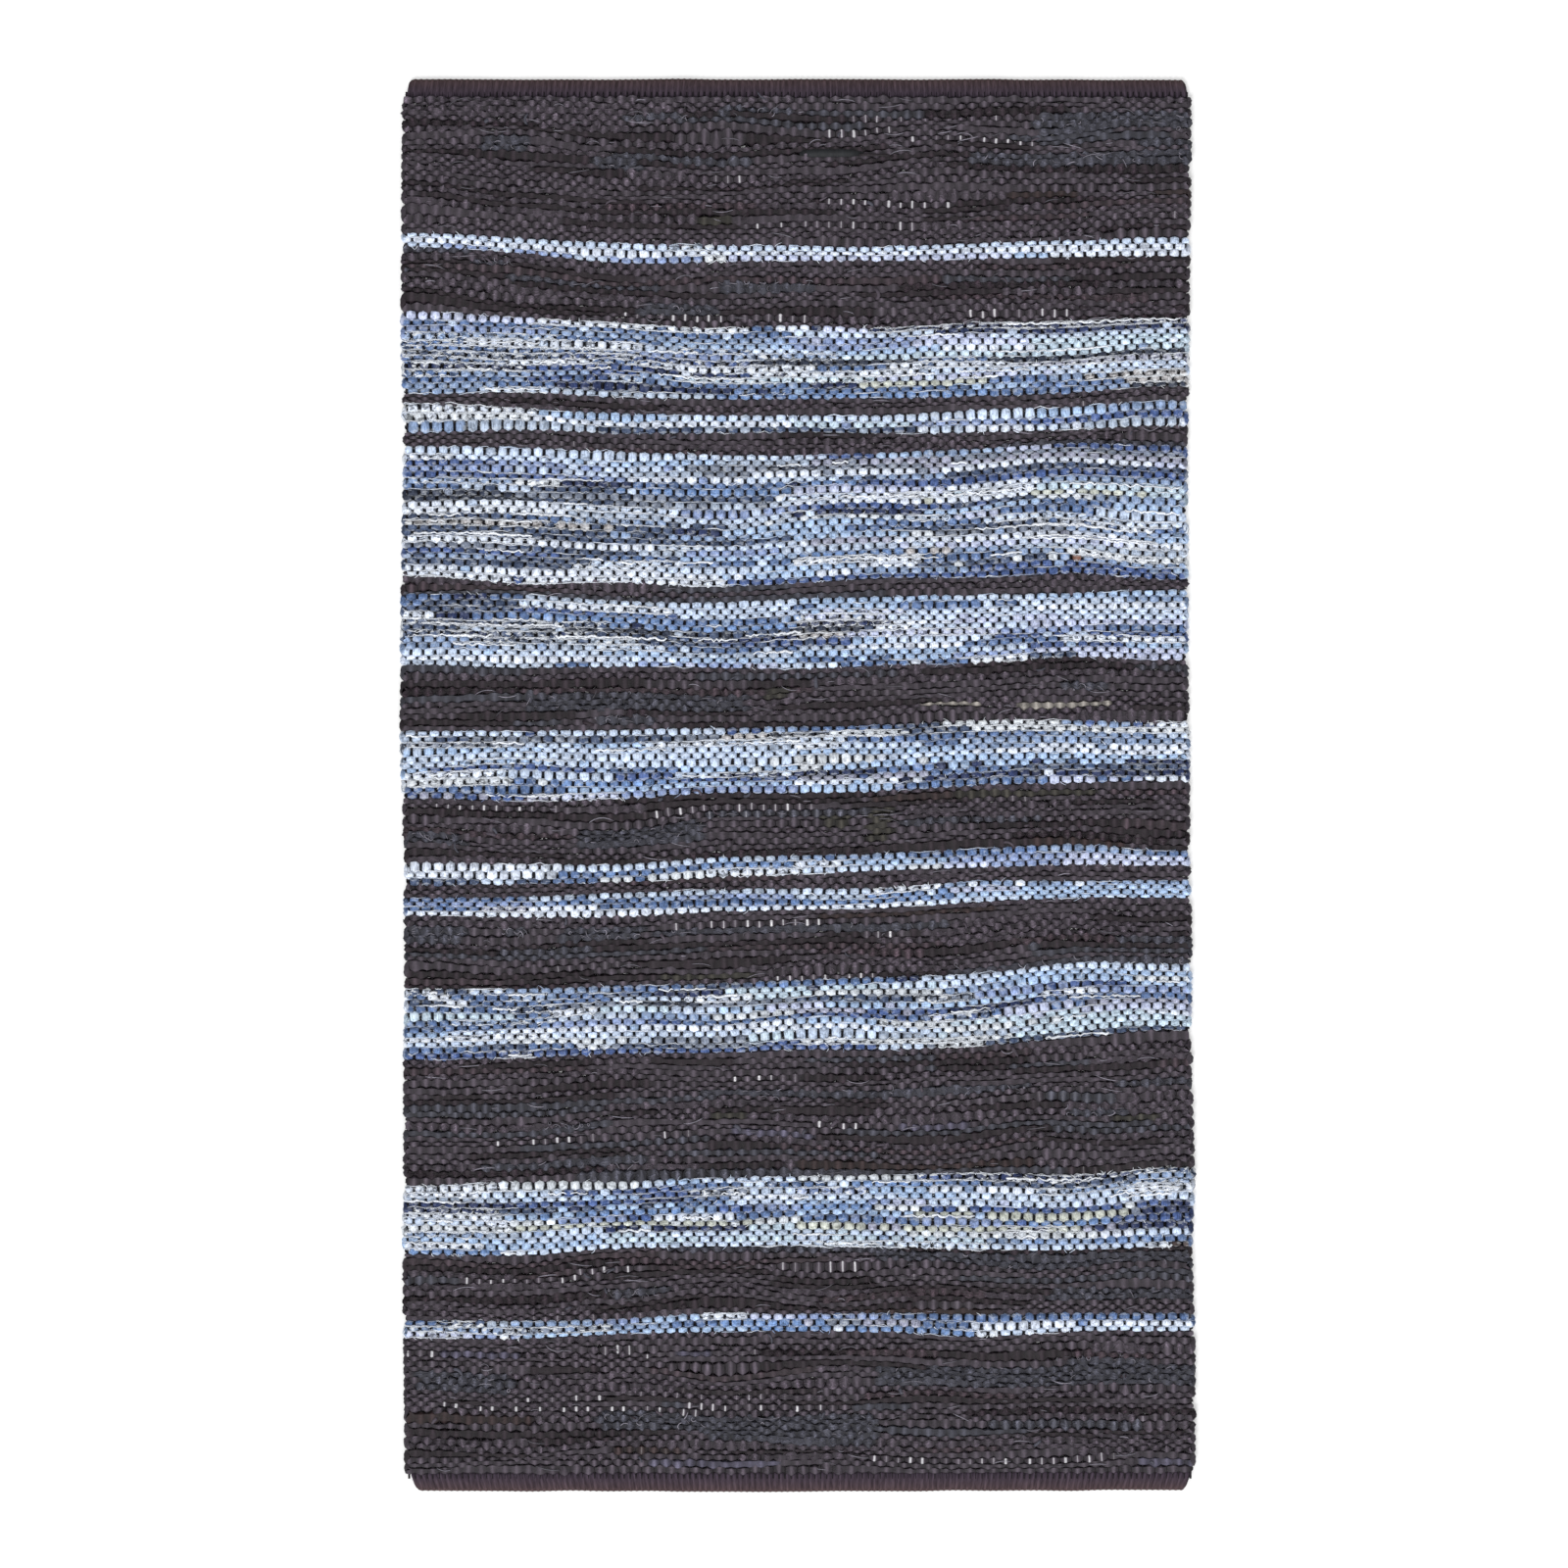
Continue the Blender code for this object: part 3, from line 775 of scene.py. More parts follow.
@dataclass
class WovenStrip:
    """A length of strip woven to and fro through a few rows, as one closed strand.

    The strand lies over even warps and under odd ones, counted the way it is thrown. Its heights
    are given by how far a point is from the warp that it lies over, in warps, and so is its colour's
    painted light: lighter on each crest, and painted shade, near black, where it dips under a warp.
    At a selvedge it turns as turn_profile says: how far towards the next row, how far out, and how
    wide.
    """

    loom: Loom
    band: Band
    rows: list[Row]
    name: str
    seed: int

    section: tuple[tuple[float, float, float], ...] = SIX_SIDES
    offsets: tuple[float, ...] = (0.0, 0.66, 0.83, 1.17, 1.34)
    reach: tuple[float, ...] = (0.0, 0.66, 0.83, 1.0)
    crown_mm: tuple[float, ...] = (6.8, 6.4, 4.2, 3.6)
    width_share: tuple[float, ...] = (0.62, 0.57, 0.46, 0.42)
    # painted light and shade by distance from the crest: lighter on it, near black in the dips
    light_share: tuple[float, ...] = (1.08, 0.96, 0.02, 0.02)
    full_height_mm: float = 6.8
    turn_bulge: float = 0.0012
    turn_half_width: float = 0.0023
    turn_profile: tuple[tuple[float, float, float], ...] = (
        (0.05, 0.80, 1.25), (0.20, 1.0, 1.20), (0.5, 1.0, 1.08), (0.80, 1.0, 1.20), (0.95, 0.80, 1.25),
    )
    strip_width: float = 0.010
    mean_width: float = 0.0080
    girth: float = 0.0155
    height_jitter: float = 0.00022
    width_jitter: float = 0.06
    place_jitter: float = 0.00025
    crumple_size: float = 0.00018
    worn_size: float = 0.00022
    worn_widening: float = 0.08
    map_shift: float = 0.37
    gloss_calm: float = 0.75
    roll_jitter: float = 0.12
    sole_give: float = 0.3
    least_thickness: float = 0.8 * MM
    turn_jitter: float = 0.10
    turn_lift: float = 0.4 * MM
    # painted shade, even along each turn at a selvedge
    turn_light: float = 0.9
    tuck_reach: float = 1.9 * MM
    tuck_share: float = 0.5
    tuck_top: float = 1.7 * MM
    tuck_bottom: float = 0.7 * MM
    speckle: float = 0.13
    crisp: tuple[int, ...] = ()
    slot: Slot = Slot.DENIM

    def __post_init__(self) -> None:
        """Start the strip's own random numbers and list its sides' heights."""
        self.rng = np.random.default_rng(self.seed)
        self.level = np.array([side[2] for side in self.section])

    def travel(self) -> np.ndarray:
        """Stations along one row, in warps from the selvedge that the strip comes from."""
        crests = np.arange(0, WARPS, 2)
        places = (crests[:, None] + np.asarray(self.offsets)[None, :]).ravel()
        return np.append(places[places < WARPS - 1.01], WARPS - 1.0)

    def colours(self, row: Row, share: np.ndarray) -> tuple[np.ndarray, np.ndarray, np.ndarray]:
        """Colour, wear and shine along a row; each kind of strip has its own."""
        raise NotImplementedError

    def relief(self, row: Row, x: np.ndarray) -> np.ndarray:
        """How deep the strip dips between two bumps there, as a share."""
        return np.ones(len(x))

    def one_row(self, row: Row) -> dict[str, np.ndarray]:
        """Work out the strand along one row.

        Args:
            row: The row.

        Returns:
            Arrays with a value for each station, by name.
        """
        travel = self.travel()
        warp = travel if row.heads_right else WARPS - 1 - travel
        warps = np.arange(WARPS)
        crest = np.floor(travel / 2 + 0.5).astype(int)
        crests = WARPS // 2 + 1
        away = np.abs(travel - 2 * crest)
        lift = self.rng.normal(0.0, self.height_jitter, crests)[crest]
        widen = 1.0 + self.rng.normal(0.0, self.width_jitter, crests)[crest]
        slip = self.rng.normal(0.0, self.place_jitter, crests)[crest]
        height = np.interp(warp, warps, row.height)
        along = np.interp(warp, warps, row.along) + slip * (1.0 - away)
        x = np.interp(warp, warps, row.x)
        relief = self.relief(row, x)
        crown = np.interp(away, self.reach, self.crown_mm)
        crown = (self.crown_mm[0] - (self.crown_mm[0] - crown) * relief) * MM
        sole = (self.full_height_mm - np.interp(1.0 - away, self.reach, self.crown_mm)) * MM
        top = crown + lift * (1.0 - away)
        bottom = np.maximum(sole + lift * away * self.sole_give, 0.0)
        widths = np.interp(away, self.reach, self.width_share)
        widths = self.width_share[1] + (widths - self.width_share[1]) * relief
        half_width = height * widths * widen
        crest_warp = np.clip(2 * crest if row.heads_right else WARPS - 1 - 2 * crest, 0, WARPS - 1)
        left = self.loom.left(row.along[crest_warp])
        share = (row.x[crest_warp] - left) / (self.loom.right(row.along[crest_warp]) - left)
        tone, worn, shine = self.colours(row, share)
        half_width = half_width * (1.0 + self.worn_widening * worn)
        roll = self.rng.normal(0.0, self.roll_jitter, crests)[crest]
        # Painted light and shade: lighter on the crests and painted shade in the dips for the top, the
        # same turned round for the underside.
        light = np.interp(away, self.reach, self.light_share)
        under = np.interp(1.0 - away, self.reach, self.light_share)
        return {
            "light": 1.0 + (light - 1.0) * relief,
            "under": 1.0 + (under - 1.0) * relief,
            "x": x,
            "y": self.loom.y(along),
            "half_width": half_width,
            "top": np.maximum(top, bottom + self.least_thickness),
            "bottom": bottom,
            "roll": roll * (1.0 - shine),
            "tone": tone,
            "worn": worn,
            "shine": shine,
        }

    def turn(self, before: dict[str, np.ndarray], after: dict[str, np.ndarray]) -> dict[str, np.ndarray]:
        """The turn at a selvedge, from the end of one row to the start of the next.

        Args:
            before: The row that ends here.
            after: The row that starts here.

        Returns:
            Arrays with a value for each station of the turn, by name.
        """
        share, out, width = np.array(self.turn_profile).T
        stations = len(share)
        side = 1.0 if before["x"][-1] > self.loom.shift else -1.0
        bulge = self.turn_bulge * (1.0 + self.rng.normal(0.0, self.turn_jitter))
        found = {}
        for key in ("x", "y", "top", "bottom", "roll"):
            found[key] = before[key][-1] * (1 - share) + after[key][0] * share
        found["x"] = found["x"] + side * bulge * out
        found["top"] = found["top"] + self.turn_lift * out
        found["half_width"] = self.turn_half_width * width
        # The turn gets an even painted shade in place of the rows' painted light.
        for key in ("light", "under"):
            found[key] = np.full(stations, self.turn_light)
        for key in ("tone", "worn", "shine"):
            found[key] = np.repeat(before[key][-1:], stations, axis=0)
        return found

    def tuck(self, row: dict[str, np.ndarray], at: int) -> dict[str, np.ndarray]:
        """The strip's cut end, drawn in and tucked down beside the outermost warp."""
        side = 1.0 if row["x"][at] > self.loom.shift else -1.0
        found = {key: row[key][at][None].copy() for key in row}
        found["x"] = found["x"] + side * self.tuck_reach
        found["half_width"] = found["half_width"] * self.tuck_share
        found["top"] = found["top"] * self.tuck_share + self.tuck_top
        found["bottom"] = found["bottom"] * self.tuck_share + self.tuck_bottom
        return found

    def tube(self) -> TubeMesh:
        """The whole strand, with its rings, colours and maps."""
        laid = [self.one_row(row) for row in self.rows]
        parts = [self.tuck(laid[0], 0), laid[0]]
        for before, after in zip(laid, laid[1:]):
            parts += [self.turn(before, after), after]
        parts.append(self.tuck(laid[-1], -1))
        whole = {key: np.concatenate([part[key] for part in parts]) for key in laid[0]}
        centre = np.column_stack([whole["x"], whole["y"]])
        form = [whole[key] for key in ("half_width", "top", "bottom", "roll")]
        rings = strand_rings(self.section, centre, *form)
        rings = self.crumple(rings, whole["worn"], whole["shine"])
        middle = rings[0].mean(axis=1)
        steps = np.linalg.norm(np.diff(middle, axis=0), axis=1)
        length = np.concatenate([[0.0], np.cumsum(steps)]) + self.seed * self.map_shift
        tone = self.dapple(whole)[None]
        trim = np.stack(np.broadcast_arrays(whole["worn"][:, None], self.gloss(whole)), axis=-1)[None]
        folds = len(self.rows) * max(1, round(12 / len(self.rows)) * 2)
        return TubeMesh(rings, tone, trim, length[None], self.girth, folds=folds, crisp=self.crisp)

    def gloss(self, whole: dict[str, np.ndarray]) -> np.ndarray:
        """How glossy each point of each ring is."""
        return np.repeat(whole["shine"][:, None], len(self.section), axis=1)

    def dapple(self, whole: dict[str, np.ndarray]) -> np.ndarray:
        """The colour of each point of each ring: painted light on the crests, painted shade where the
        strip dips under a warp, and uneven at random.

        Args:
            whole: The strand's values at each station, by name.

        Returns:
            Colours, as station, side and channel.
        """
        # painted light and shade: top points follow the light values, underside points the under values
        shade = np.where(self.level > 0.0, whole["light"][:, None], whole["under"][:, None])
        shade = shade * np.exp(self.rng.normal(0.0, self.speckle, shade.shape))
        return whole["tone"][:, None, :] * shade[:, :, None]

    def crumple(self, rings: np.ndarray, worn: np.ndarray, shine: np.ndarray) -> np.ndarray:
        """Uneven the strand's surface, and keep it above the floor.

        Args:
            rings: The strand's rings.
            worn: How frayed or creased it is at each station.
            shine: How glossy it is there; glossy hide lies smoother.

        Returns:
            The uneven rings.
        """
        size = (self.crumple_size + self.worn_size * worn) * (1.0 - self.gloss_calm * shine)
        rings = rings + self.rng.normal(0.0, 1.0, rings.shape) * size[None, :, None, None]
        rings[..., 2] = np.maximum(rings[..., 2], 0.0)
        return rings

    def build(self, finish: bpy.types.Material) -> bpy.types.Object:
        """Args:
            finish: The strip's material.

        Returns:
            The piece.
        """
        tube = self.tube()
        piece = tube.build(self.name)
        join_rug(piece, finish, self.slot)
        return piece


@dataclass
class DenimStrip(WovenStrip):
    """Torn denim, whose colours follow the band's chart."""

    tone_jitter: float = 0.12
    stray_share: float = 0.10
    edge_white: float = 0.22
    worn_white: float = 0.62
    face_white: float = 0.6
    plain_wear: float = 0.2

    def dapple(self, whole: dict[str, np.ndarray]) -> np.ndarray:
        """The strip's colours, painted light and shade included, with its raw edges frayed to white."""
        tone = super().dapple(whole)
        draw = self.rng.random(tone.shape[:2])
        worn = whole["worn"][:, None]
        edge = (self.level < 1.0).astype(float)[None, :]
        share = edge * (self.edge_white + self.worn_white * worn) * draw**1.5
        share = share + (1.0 - edge) * worn * self.worn_white * self.face_white * draw**3
        # the white follows the painted light too, so it is darkened in the painted shade of the dips
        share = (share * whole["light"][:, None])[:, :, None]
        white = linear(CLOTHS["white"])
        return tone * (1.0 - share) + white * share

    def colours(self, row: Row, share: np.ndarray) -> tuple[np.ndarray, np.ndarray, np.ndarray]:
        """Colour, wear and shine along a row.

        Args:
            row: The row.
            share: How far across the rug each station's bump is.

        Returns:
            The three values at each station.
        """
        runs = read_runs(self.band.chart[row.number - self.rows_before])
        ends = np.array([run.end for run in runs]) / 100
        index = np.minimum(np.searchsorted(ends, share, side="right"), len(runs) - 1)
        faces = np.array([dye(run.cloth) for run in runs])
        bump = np.unique(share, return_inverse=True)[1]
        light = np.exp(self.rng.normal(0.0, self.tone_jitter, bump.max() + 1))[bump]
        stray = (self.rng.random(bump.max() + 1) < self.stray_share)[bump]
        near = np.clip(index + self.rng.integers(-1, 2, bump.max() + 1)[bump], 0, len(runs) - 1)
        tone = faces[np.where(stray, near, index)] * light[:, None]
        worn = np.array([1.0 if run.frayed else self.plain_wear for run in runs])[index]
        return tone, worn, np.zeros(len(share))

    @property
    def rows_before(self) -> int:
        """How many rows lie before this band."""
        return sum(band.rows for band in BANDS[: BANDS.index(self.band)])


@dataclass
class LeatherStrip(WovenStrip):
    """Leather off-cuts of several hides, creased and in places shiny."""

    section: tuple[tuple[float, float, float], ...] = FIVE_SIDES
    offsets: tuple[float, ...] = (0.0, 0.48, 1.0, 1.52)
    reach: tuple[float, ...] = (0.0, 0.48, 1.0)
    crown_mm: tuple[float, ...] = (6.5, 5.9, 4.4)
    width_share: tuple[float, ...] = (0.66, 0.59, 0.46)
    crisp: tuple[int, ...] = (2, 3)
    # painted light and shade: a bright bar on each crest, darker in the dips
    light_share: tuple[float, ...] = (2.20, 0.88, 0.42)
    # painted shade down the strip's sides, between the rows
    side_share: float = 0.66
    height_jitter: float = 0.00030
    width_jitter: float = 0.10
    place_jitter: float = 0.0004
    crumple_size: float = 0.00016
    worn_size: float = 0.00030
    speckle: float = 0.10
    tone_jitter: float = 0.10
    depth: float = 0.545
    run_mm: tuple[float, float] = (50.0, 240.0)
    shiny_share: float = 0.11
    shine_range: tuple[float, float] = (0.25, 0.75)
    gloss_range: tuple[float, float] = (0.38, 1.0)
    dull_gloss: float = 0.15
    creased_share: float = 0.35
    relief_middle: float = 0.95
    relief_spacing: float = 0.05
    relief_jitter: float = 0.28
    relief_range: tuple[float, float] = (0.35, 1.3)
    glossy_from: float = 0.3
    glossy_relief: float = 1.2
    streak_relief: float = 0.8
    hides: tuple[str, ...] = ("charcoal", "slate", "soot", "umber")
    chances: tuple[float, ...] = (0.78, 0.09, 0.08, 0.05)
    slot: Slot = Slot.LEATHER

    def dapple(self, whole: dict[str, np.ndarray]) -> np.ndarray:
        """The strip's colours, with painted shade down its sides."""
        shade = np.where(self.level == 0.5, self.side_share, 1.0)
        return super().dapple(whole) * shade[None, :, None]

    def gloss(self, whole: dict[str, np.ndarray]) -> np.ndarray:
        """How glossy each point of each ring is: most on the crests, where it also sets the painted
        glints, and not on all alike.
        """
        crest = np.clip((whole["light"] - 1.0) / (self.light_share[0] - 1.0), self.dull_gloss, 1.0)
        draw = self.rng.uniform(*self.gloss_range, len(crest))
        upper = np.where(self.level == 1.0, 1.0, self.dull_gloss)
        return (whole["shine"] * crest * draw)[:, None] * upper

    def relief(self, row: Row, x: np.ndarray) -> np.ndarray:
        """How deep the strip dips between two bumps there, as a share."""
        drift = wander(self.rng, x, self.relief_spacing, self.relief_jitter)
        found = np.clip(self.relief_middle + drift, *self.relief_range)
        share = (x - self.loom.shift) / RUG_WIDTH + 0.5
        for streak in self.placed(row):
            inside = (share >= streak.start / 100) & (share < streak.end / 100)
            if streak.shine > self.glossy_from:
                found[inside] = self.glossy_relief
            else:
                found[inside] = found[inside] * self.streak_relief
        return found

    def placed(self, row: Row) -> list[Streak]:
        """The streaks that lie in a row."""
        found = []
        for streak in STREAKS:
            warp = int((streak.start + streak.end) / 200 * (WARPS - 1))
            offset = abs(streak.along_mm * MM - row.along[warp])
            if offset <= max(row.height[warp] / 2, streak.reach_mm * MM):
                found.append(streak)
        return found

    def runs(self, row: Row) -> list[tuple[float, float, str, float, float]]:
        """Draw the hides of a row.

        Args:
            row: The row.

        Returns:
            Start and end across the rug as shares, hide, creases and shine of each run; later
            runs lie over earlier ones.
        """
        runs = []
        start = 0.0
        while start < 1.0:
            end = start + self.rng.uniform(*self.run_mm) * MM / RUG_WIDTH
            hide = str(self.rng.choice(self.hides, p=self.chances))
            creased = float(self.rng.random() < self.creased_share)
            shine = float(self.rng.random() < self.shiny_share) * self.rng.uniform(*self.shine_range)
            runs.append((start, end, hide, creased, shine))
            start = end
        for streak in self.placed(row):
            creased = float(streak.hide == "slate")
            runs.append((streak.start / 100, streak.end / 100, streak.hide, creased, streak.shine))
        return runs

    def colours(self, row: Row, share: np.ndarray) -> tuple[np.ndarray, np.ndarray, np.ndarray]:
        """Colour, wear and shine along a row.

        Args:
            row: The row.
            share: How far across the rug each station's bump is.

        Returns:
            The three values at each station.
        """
        tone = np.tile(linear(HIDES["charcoal"]), (len(share), 1))
        worn = np.zeros(len(share))
        shine = np.zeros(len(share))
        for start, end, hide, creased, gloss in self.runs(row):
            inside = (share >= start) & (share < end)
            tone[inside] = linear(HIDES[hide])
            worn[inside] = creased
            shine[inside] = gloss
        bump = np.unique(share, return_inverse=True)[1]
        light = 1.0 + self.rng.normal(0.0, self.tone_jitter, bump.max() + 1)[bump]
        return tone * light[:, None] * self.depth, worn, shine


@dataclass
class Threads:
    """Thin round or flat threads, all with the same number of points."""

    name: str
    paths: np.ndarray
    half_width: np.ndarray
    half_height: np.ndarray
    tone: np.ndarray
    sides: int = 3
    columns: int = 8
    map_shift: float = 0.023

    def tube(self) -> TubeMesh:
        """The threads' rings, colours and maps."""
        heading = np.gradient(self.paths, axis=1)
        heading /= np.maximum(np.linalg.norm(heading, axis=2, keepdims=True), 1e-9)
        sideways = np.cross(np.array([0.0, 0.0, 1.0]), heading)
        sideways /= np.maximum(np.linalg.norm(sideways, axis=2, keepdims=True), 1e-9)
        upward = np.cross(heading, sideways)
        angle = (np.arange(self.sides) - 0.5) * 2 * math.pi / self.sides - math.pi / 2
        rings = (
            self.paths[:, :, None, :]
            + sideways[:, :, None, :] * (self.half_width[:, :, None] * np.cos(angle))[..., None]
            + upward[:, :, None, :] * (self.half_height[:, :, None] * np.sin(angle))[..., None]
        )
        tubes = len(self.paths)
        steps = np.linalg.norm(np.diff(self.paths, axis=1), axis=2)
        length = np.concatenate([np.zeros((tubes, 1)), np.cumsum(steps, axis=1)], axis=1)
        length += np.arange(tubes)[:, None] * self.map_shift
        tone = np.broadcast_to(self.tone[:, None, None, :], rings.shape)
        trim = np.zeros(rings.shape[:-1] + (2,))
        girth = float(self.half_width.mean()) * 2 * math.pi
        return TubeMesh(rings, tone, trim, length, girth, columns=self.columns)

    def build(self, finish: bpy.types.Material, slot: Slot) -> bpy.types.Object:
        """Make the piece and dress it.

        Args:
            finish: Its material.
            slot: The record's slot for it.

        Returns:
            The piece.
        """
        piece = self.tube().build(self.name)
        join_rug(piece, finish, slot)
        return piece


@dataclass
class WarpThreads:
    """The black cotton warps, each in two lengths that meet at the middle of the rug."""

    loom: Loom
    level: float = 0.0037
    half_width: float = 0.0010
    half_height: float = 0.0009
    points: int = 7
    tuck: float = 0.004
    colour: tuple[int, int, int] = (38, 34, 38)

    def build(self, finish: bpy.types.Material) -> list[bpy.types.Object]:
        """Make both lengths.

        Args:
            finish: The cotton's material.

        Returns:
            The two pieces.
        """
        far = HEM_DEPTH - self.tuck
        near = self.loom.high.y - self.loom.low.y - HEM_DEPTH + self.tuck
        middle = (far + near) / 2
        pieces = []
        for name, start, end in (("cotton_warps_far", far, middle), ("cotton_warps_near", middle, near)):
            along = np.linspace(start, end, self.points)[None, :]
            warps = np.arange(WARPS)[:, None]
            x = self.loom.warp_x(warps, along)
            y = np.broadcast_to(self.loom.y(along), x.shape)
            paths = np.stack([x, y, np.full(x.shape, self.level)], axis=-1)
            half_width = np.full(x.shape, self.half_width)
            half_height = np.full(x.shape, self.half_height)
            tone = np.tile(linear(self.colour), (WARPS, 1))
            threads = Threads(name, paths, half_width, half_height, tone, columns=1)
            pieces.append(threads.build(finish, Slot.COTTON))
        return pieces


@dataclass
class FoldedHem:
    """A cotton heading folded under at one end of the rug: two thin layers and the fold.

    outline goes round the hem's cross-section: each point's distance from the first row of weft
    towards the fold, and its height, in millimetres. The ribs are the warps inside the cloth.
    """

    loom: Loom
    name: str
    is_far: bool
    seed: int
    brightness: float
    left_at_fold: float
    left_at_weft: float
    right_at_fold: float
    right_at_weft: float
    outline: tuple[tuple[float, float], ...] = (
        (-1.5, 3.0), (1.2, 3.8), (6.0, 4.1), (11.0, 3.9), (13.3, 3.2), (14.0, 2.0),
        (13.2, 0.7), (10.5, 0.05), (-1.5, 0.02), (-1.5, 1.3), (10.4, 1.45), (11.4, 2.0),
        (10.4, 2.6), (-1.5, 1.9),
    )
    outer_points: int = 9
    rib_height: float = 0.00045
    rib_reach: float = 0.6
    # painted light on the ribs and painted shade between them
    rib_light: float = 0.30
    rib_stations: int = 3
    ribbed_above: float = 2.0 * MM
    uneven_above: float = 3.0 * MM
    sway: float = 0.0003
    unevenness: float = 0.00012
    corner: float = 0.0035
    corner_depth: float = 0.75
    turned_in: float = 0.003
    girth: float = 0.062
    map_folds: int = 9
    face_colour: tuple[int, int, int] = (57, 49, 59)
    fold_colour: tuple[int, int, int] = (70, 56, 56)

    def __post_init__(self) -> None:
        """Lay out the hem's stations across the rug and its cross-section."""
        self.rng = np.random.default_rng(self.seed)
        place = np.arange(-self.rib_stations, WARPS * self.rib_stations) / self.rib_stations
        share = (place + 1.0) / WARPS
        self.share = (share - share.min()) / (share.max() - share.min())
        self.wave = np.cos(2 * math.pi * place)
        self.depth = np.array([point[0] for point in self.outline]) * MM
        self.level = np.array([point[1] for point in self.outline]) * MM
        self.toward_fold = np.clip(self.depth / HEM_DEPTH, 0.0, 1.0)[None, :]

    def ends(self) -> tuple[np.ndarray, np.ndarray]:
        """X of the hem's left and right end, at each point of its cross-section."""
        end_along = 0.0 if self.is_far else self.loom.high.y - self.loom.low.y
        left = self.loom.left(np.array([end_along]))[0]
        right = self.loom.right(np.array([end_along]))[0]
        left_taper = (self.left_at_fold - self.left_at_weft) * self.toward_fold
        right_taper = (self.right_at_fold - self.right_at_weft) * self.toward_fold
        return left + self.left_at_weft + left_taper, right - self.right_at_weft - right_taper

    def rings(self, low_x: np.ndarray, high_x: np.ndarray) -> np.ndarray:
        """Shape the hem between its two ends.

        Args:
            low_x: X of its left end at each point of the cross-section.
            high_x: X of its right end there.

        Returns:
            The points, as station, point of the cross-section and axis.
        """
        x = low_x + (high_x - low_x) * self.share[:, None]
        inward = np.minimum(x - low_x, high_x - x)
        rounding = np.clip(1.0 - inward / self.corner, 0.0, 1.0)
        arc = 1.0 - np.sqrt(1.0 - rounding**2)
        shorten = self.corner * self.corner_depth * arc * self.toward_fold**3
        outer = (np.arange(len(self.outline)) < self.outer_points)[None, :]
        rib = np.where(outer, self.wave[:, None], 0.0) * self.rib_height
        sway = wander(self.rng, self.share, 0.05, self.sway)[:, None]
        out = self.depth[None, :] - shorten + (rib * self.rib_reach + sway) * self.toward_fold
        first_row = self.loom.lines_mm[0 if self.is_far else -1] * MM
        along = smooth_curve(x, STATIONS, first_row) + out * (-1.0 if self.is_far else 1.0)
        ribbed = np.where(self.level > self.ribbed_above, 1.0, 0.0)[None, :]
        uneven = (self.level > self.uneven_above)[None, :]
        z = self.level[None, :] + rib * ribbed
        z = z + wander(self.rng, self.share, 0.03, self.unevenness)[:, None] * uneven
        return np.stack([x, self.loom.y(along), np.maximum(z, 0.0)], axis=-1)

    def tones(self) -> np.ndarray:
        """The colour of each point: browner at the fold, with painted light on the ribs and painted shade
        between them.
        """
        fold = self.toward_fold[..., None] ** 2
        tone = linear(self.face_colour) * (1.0 - fold) + linear(self.fold_colour) * fold
        return tone * self.brightness * (1.0 + self.rib_light * self.wave[:, None, None])

    def build(self, finish: bpy.types.Material) -> bpy.types.Object:
        """Args:
            finish: The cotton's material.

        Returns:
            The piece.
        """
        low_x, high_x = self.ends()
        points = self.rings(low_x, high_x)
        tone = self.tones()
        if not self.is_far:
            points = points[:, ::-1]
            tone = tone[:, ::-1]
        tone = np.broadcast_to(tone, points.shape)[None]
        trim = np.zeros(points.shape[:-1] + (2,))[None]
        length = (self.share * RUG_WIDTH)[None]
        mesh = TubeMesh(points[None], tone, trim, length, self.girth, folds=self.map_folds)
        piece = mesh.build(self.name)
        join_rug(piece, finish, Slot.COTTON)
        flat = (float(high_x.max() - low_x.min()), 2 * HEM_DEPTH + self.turned_in)
        return piece


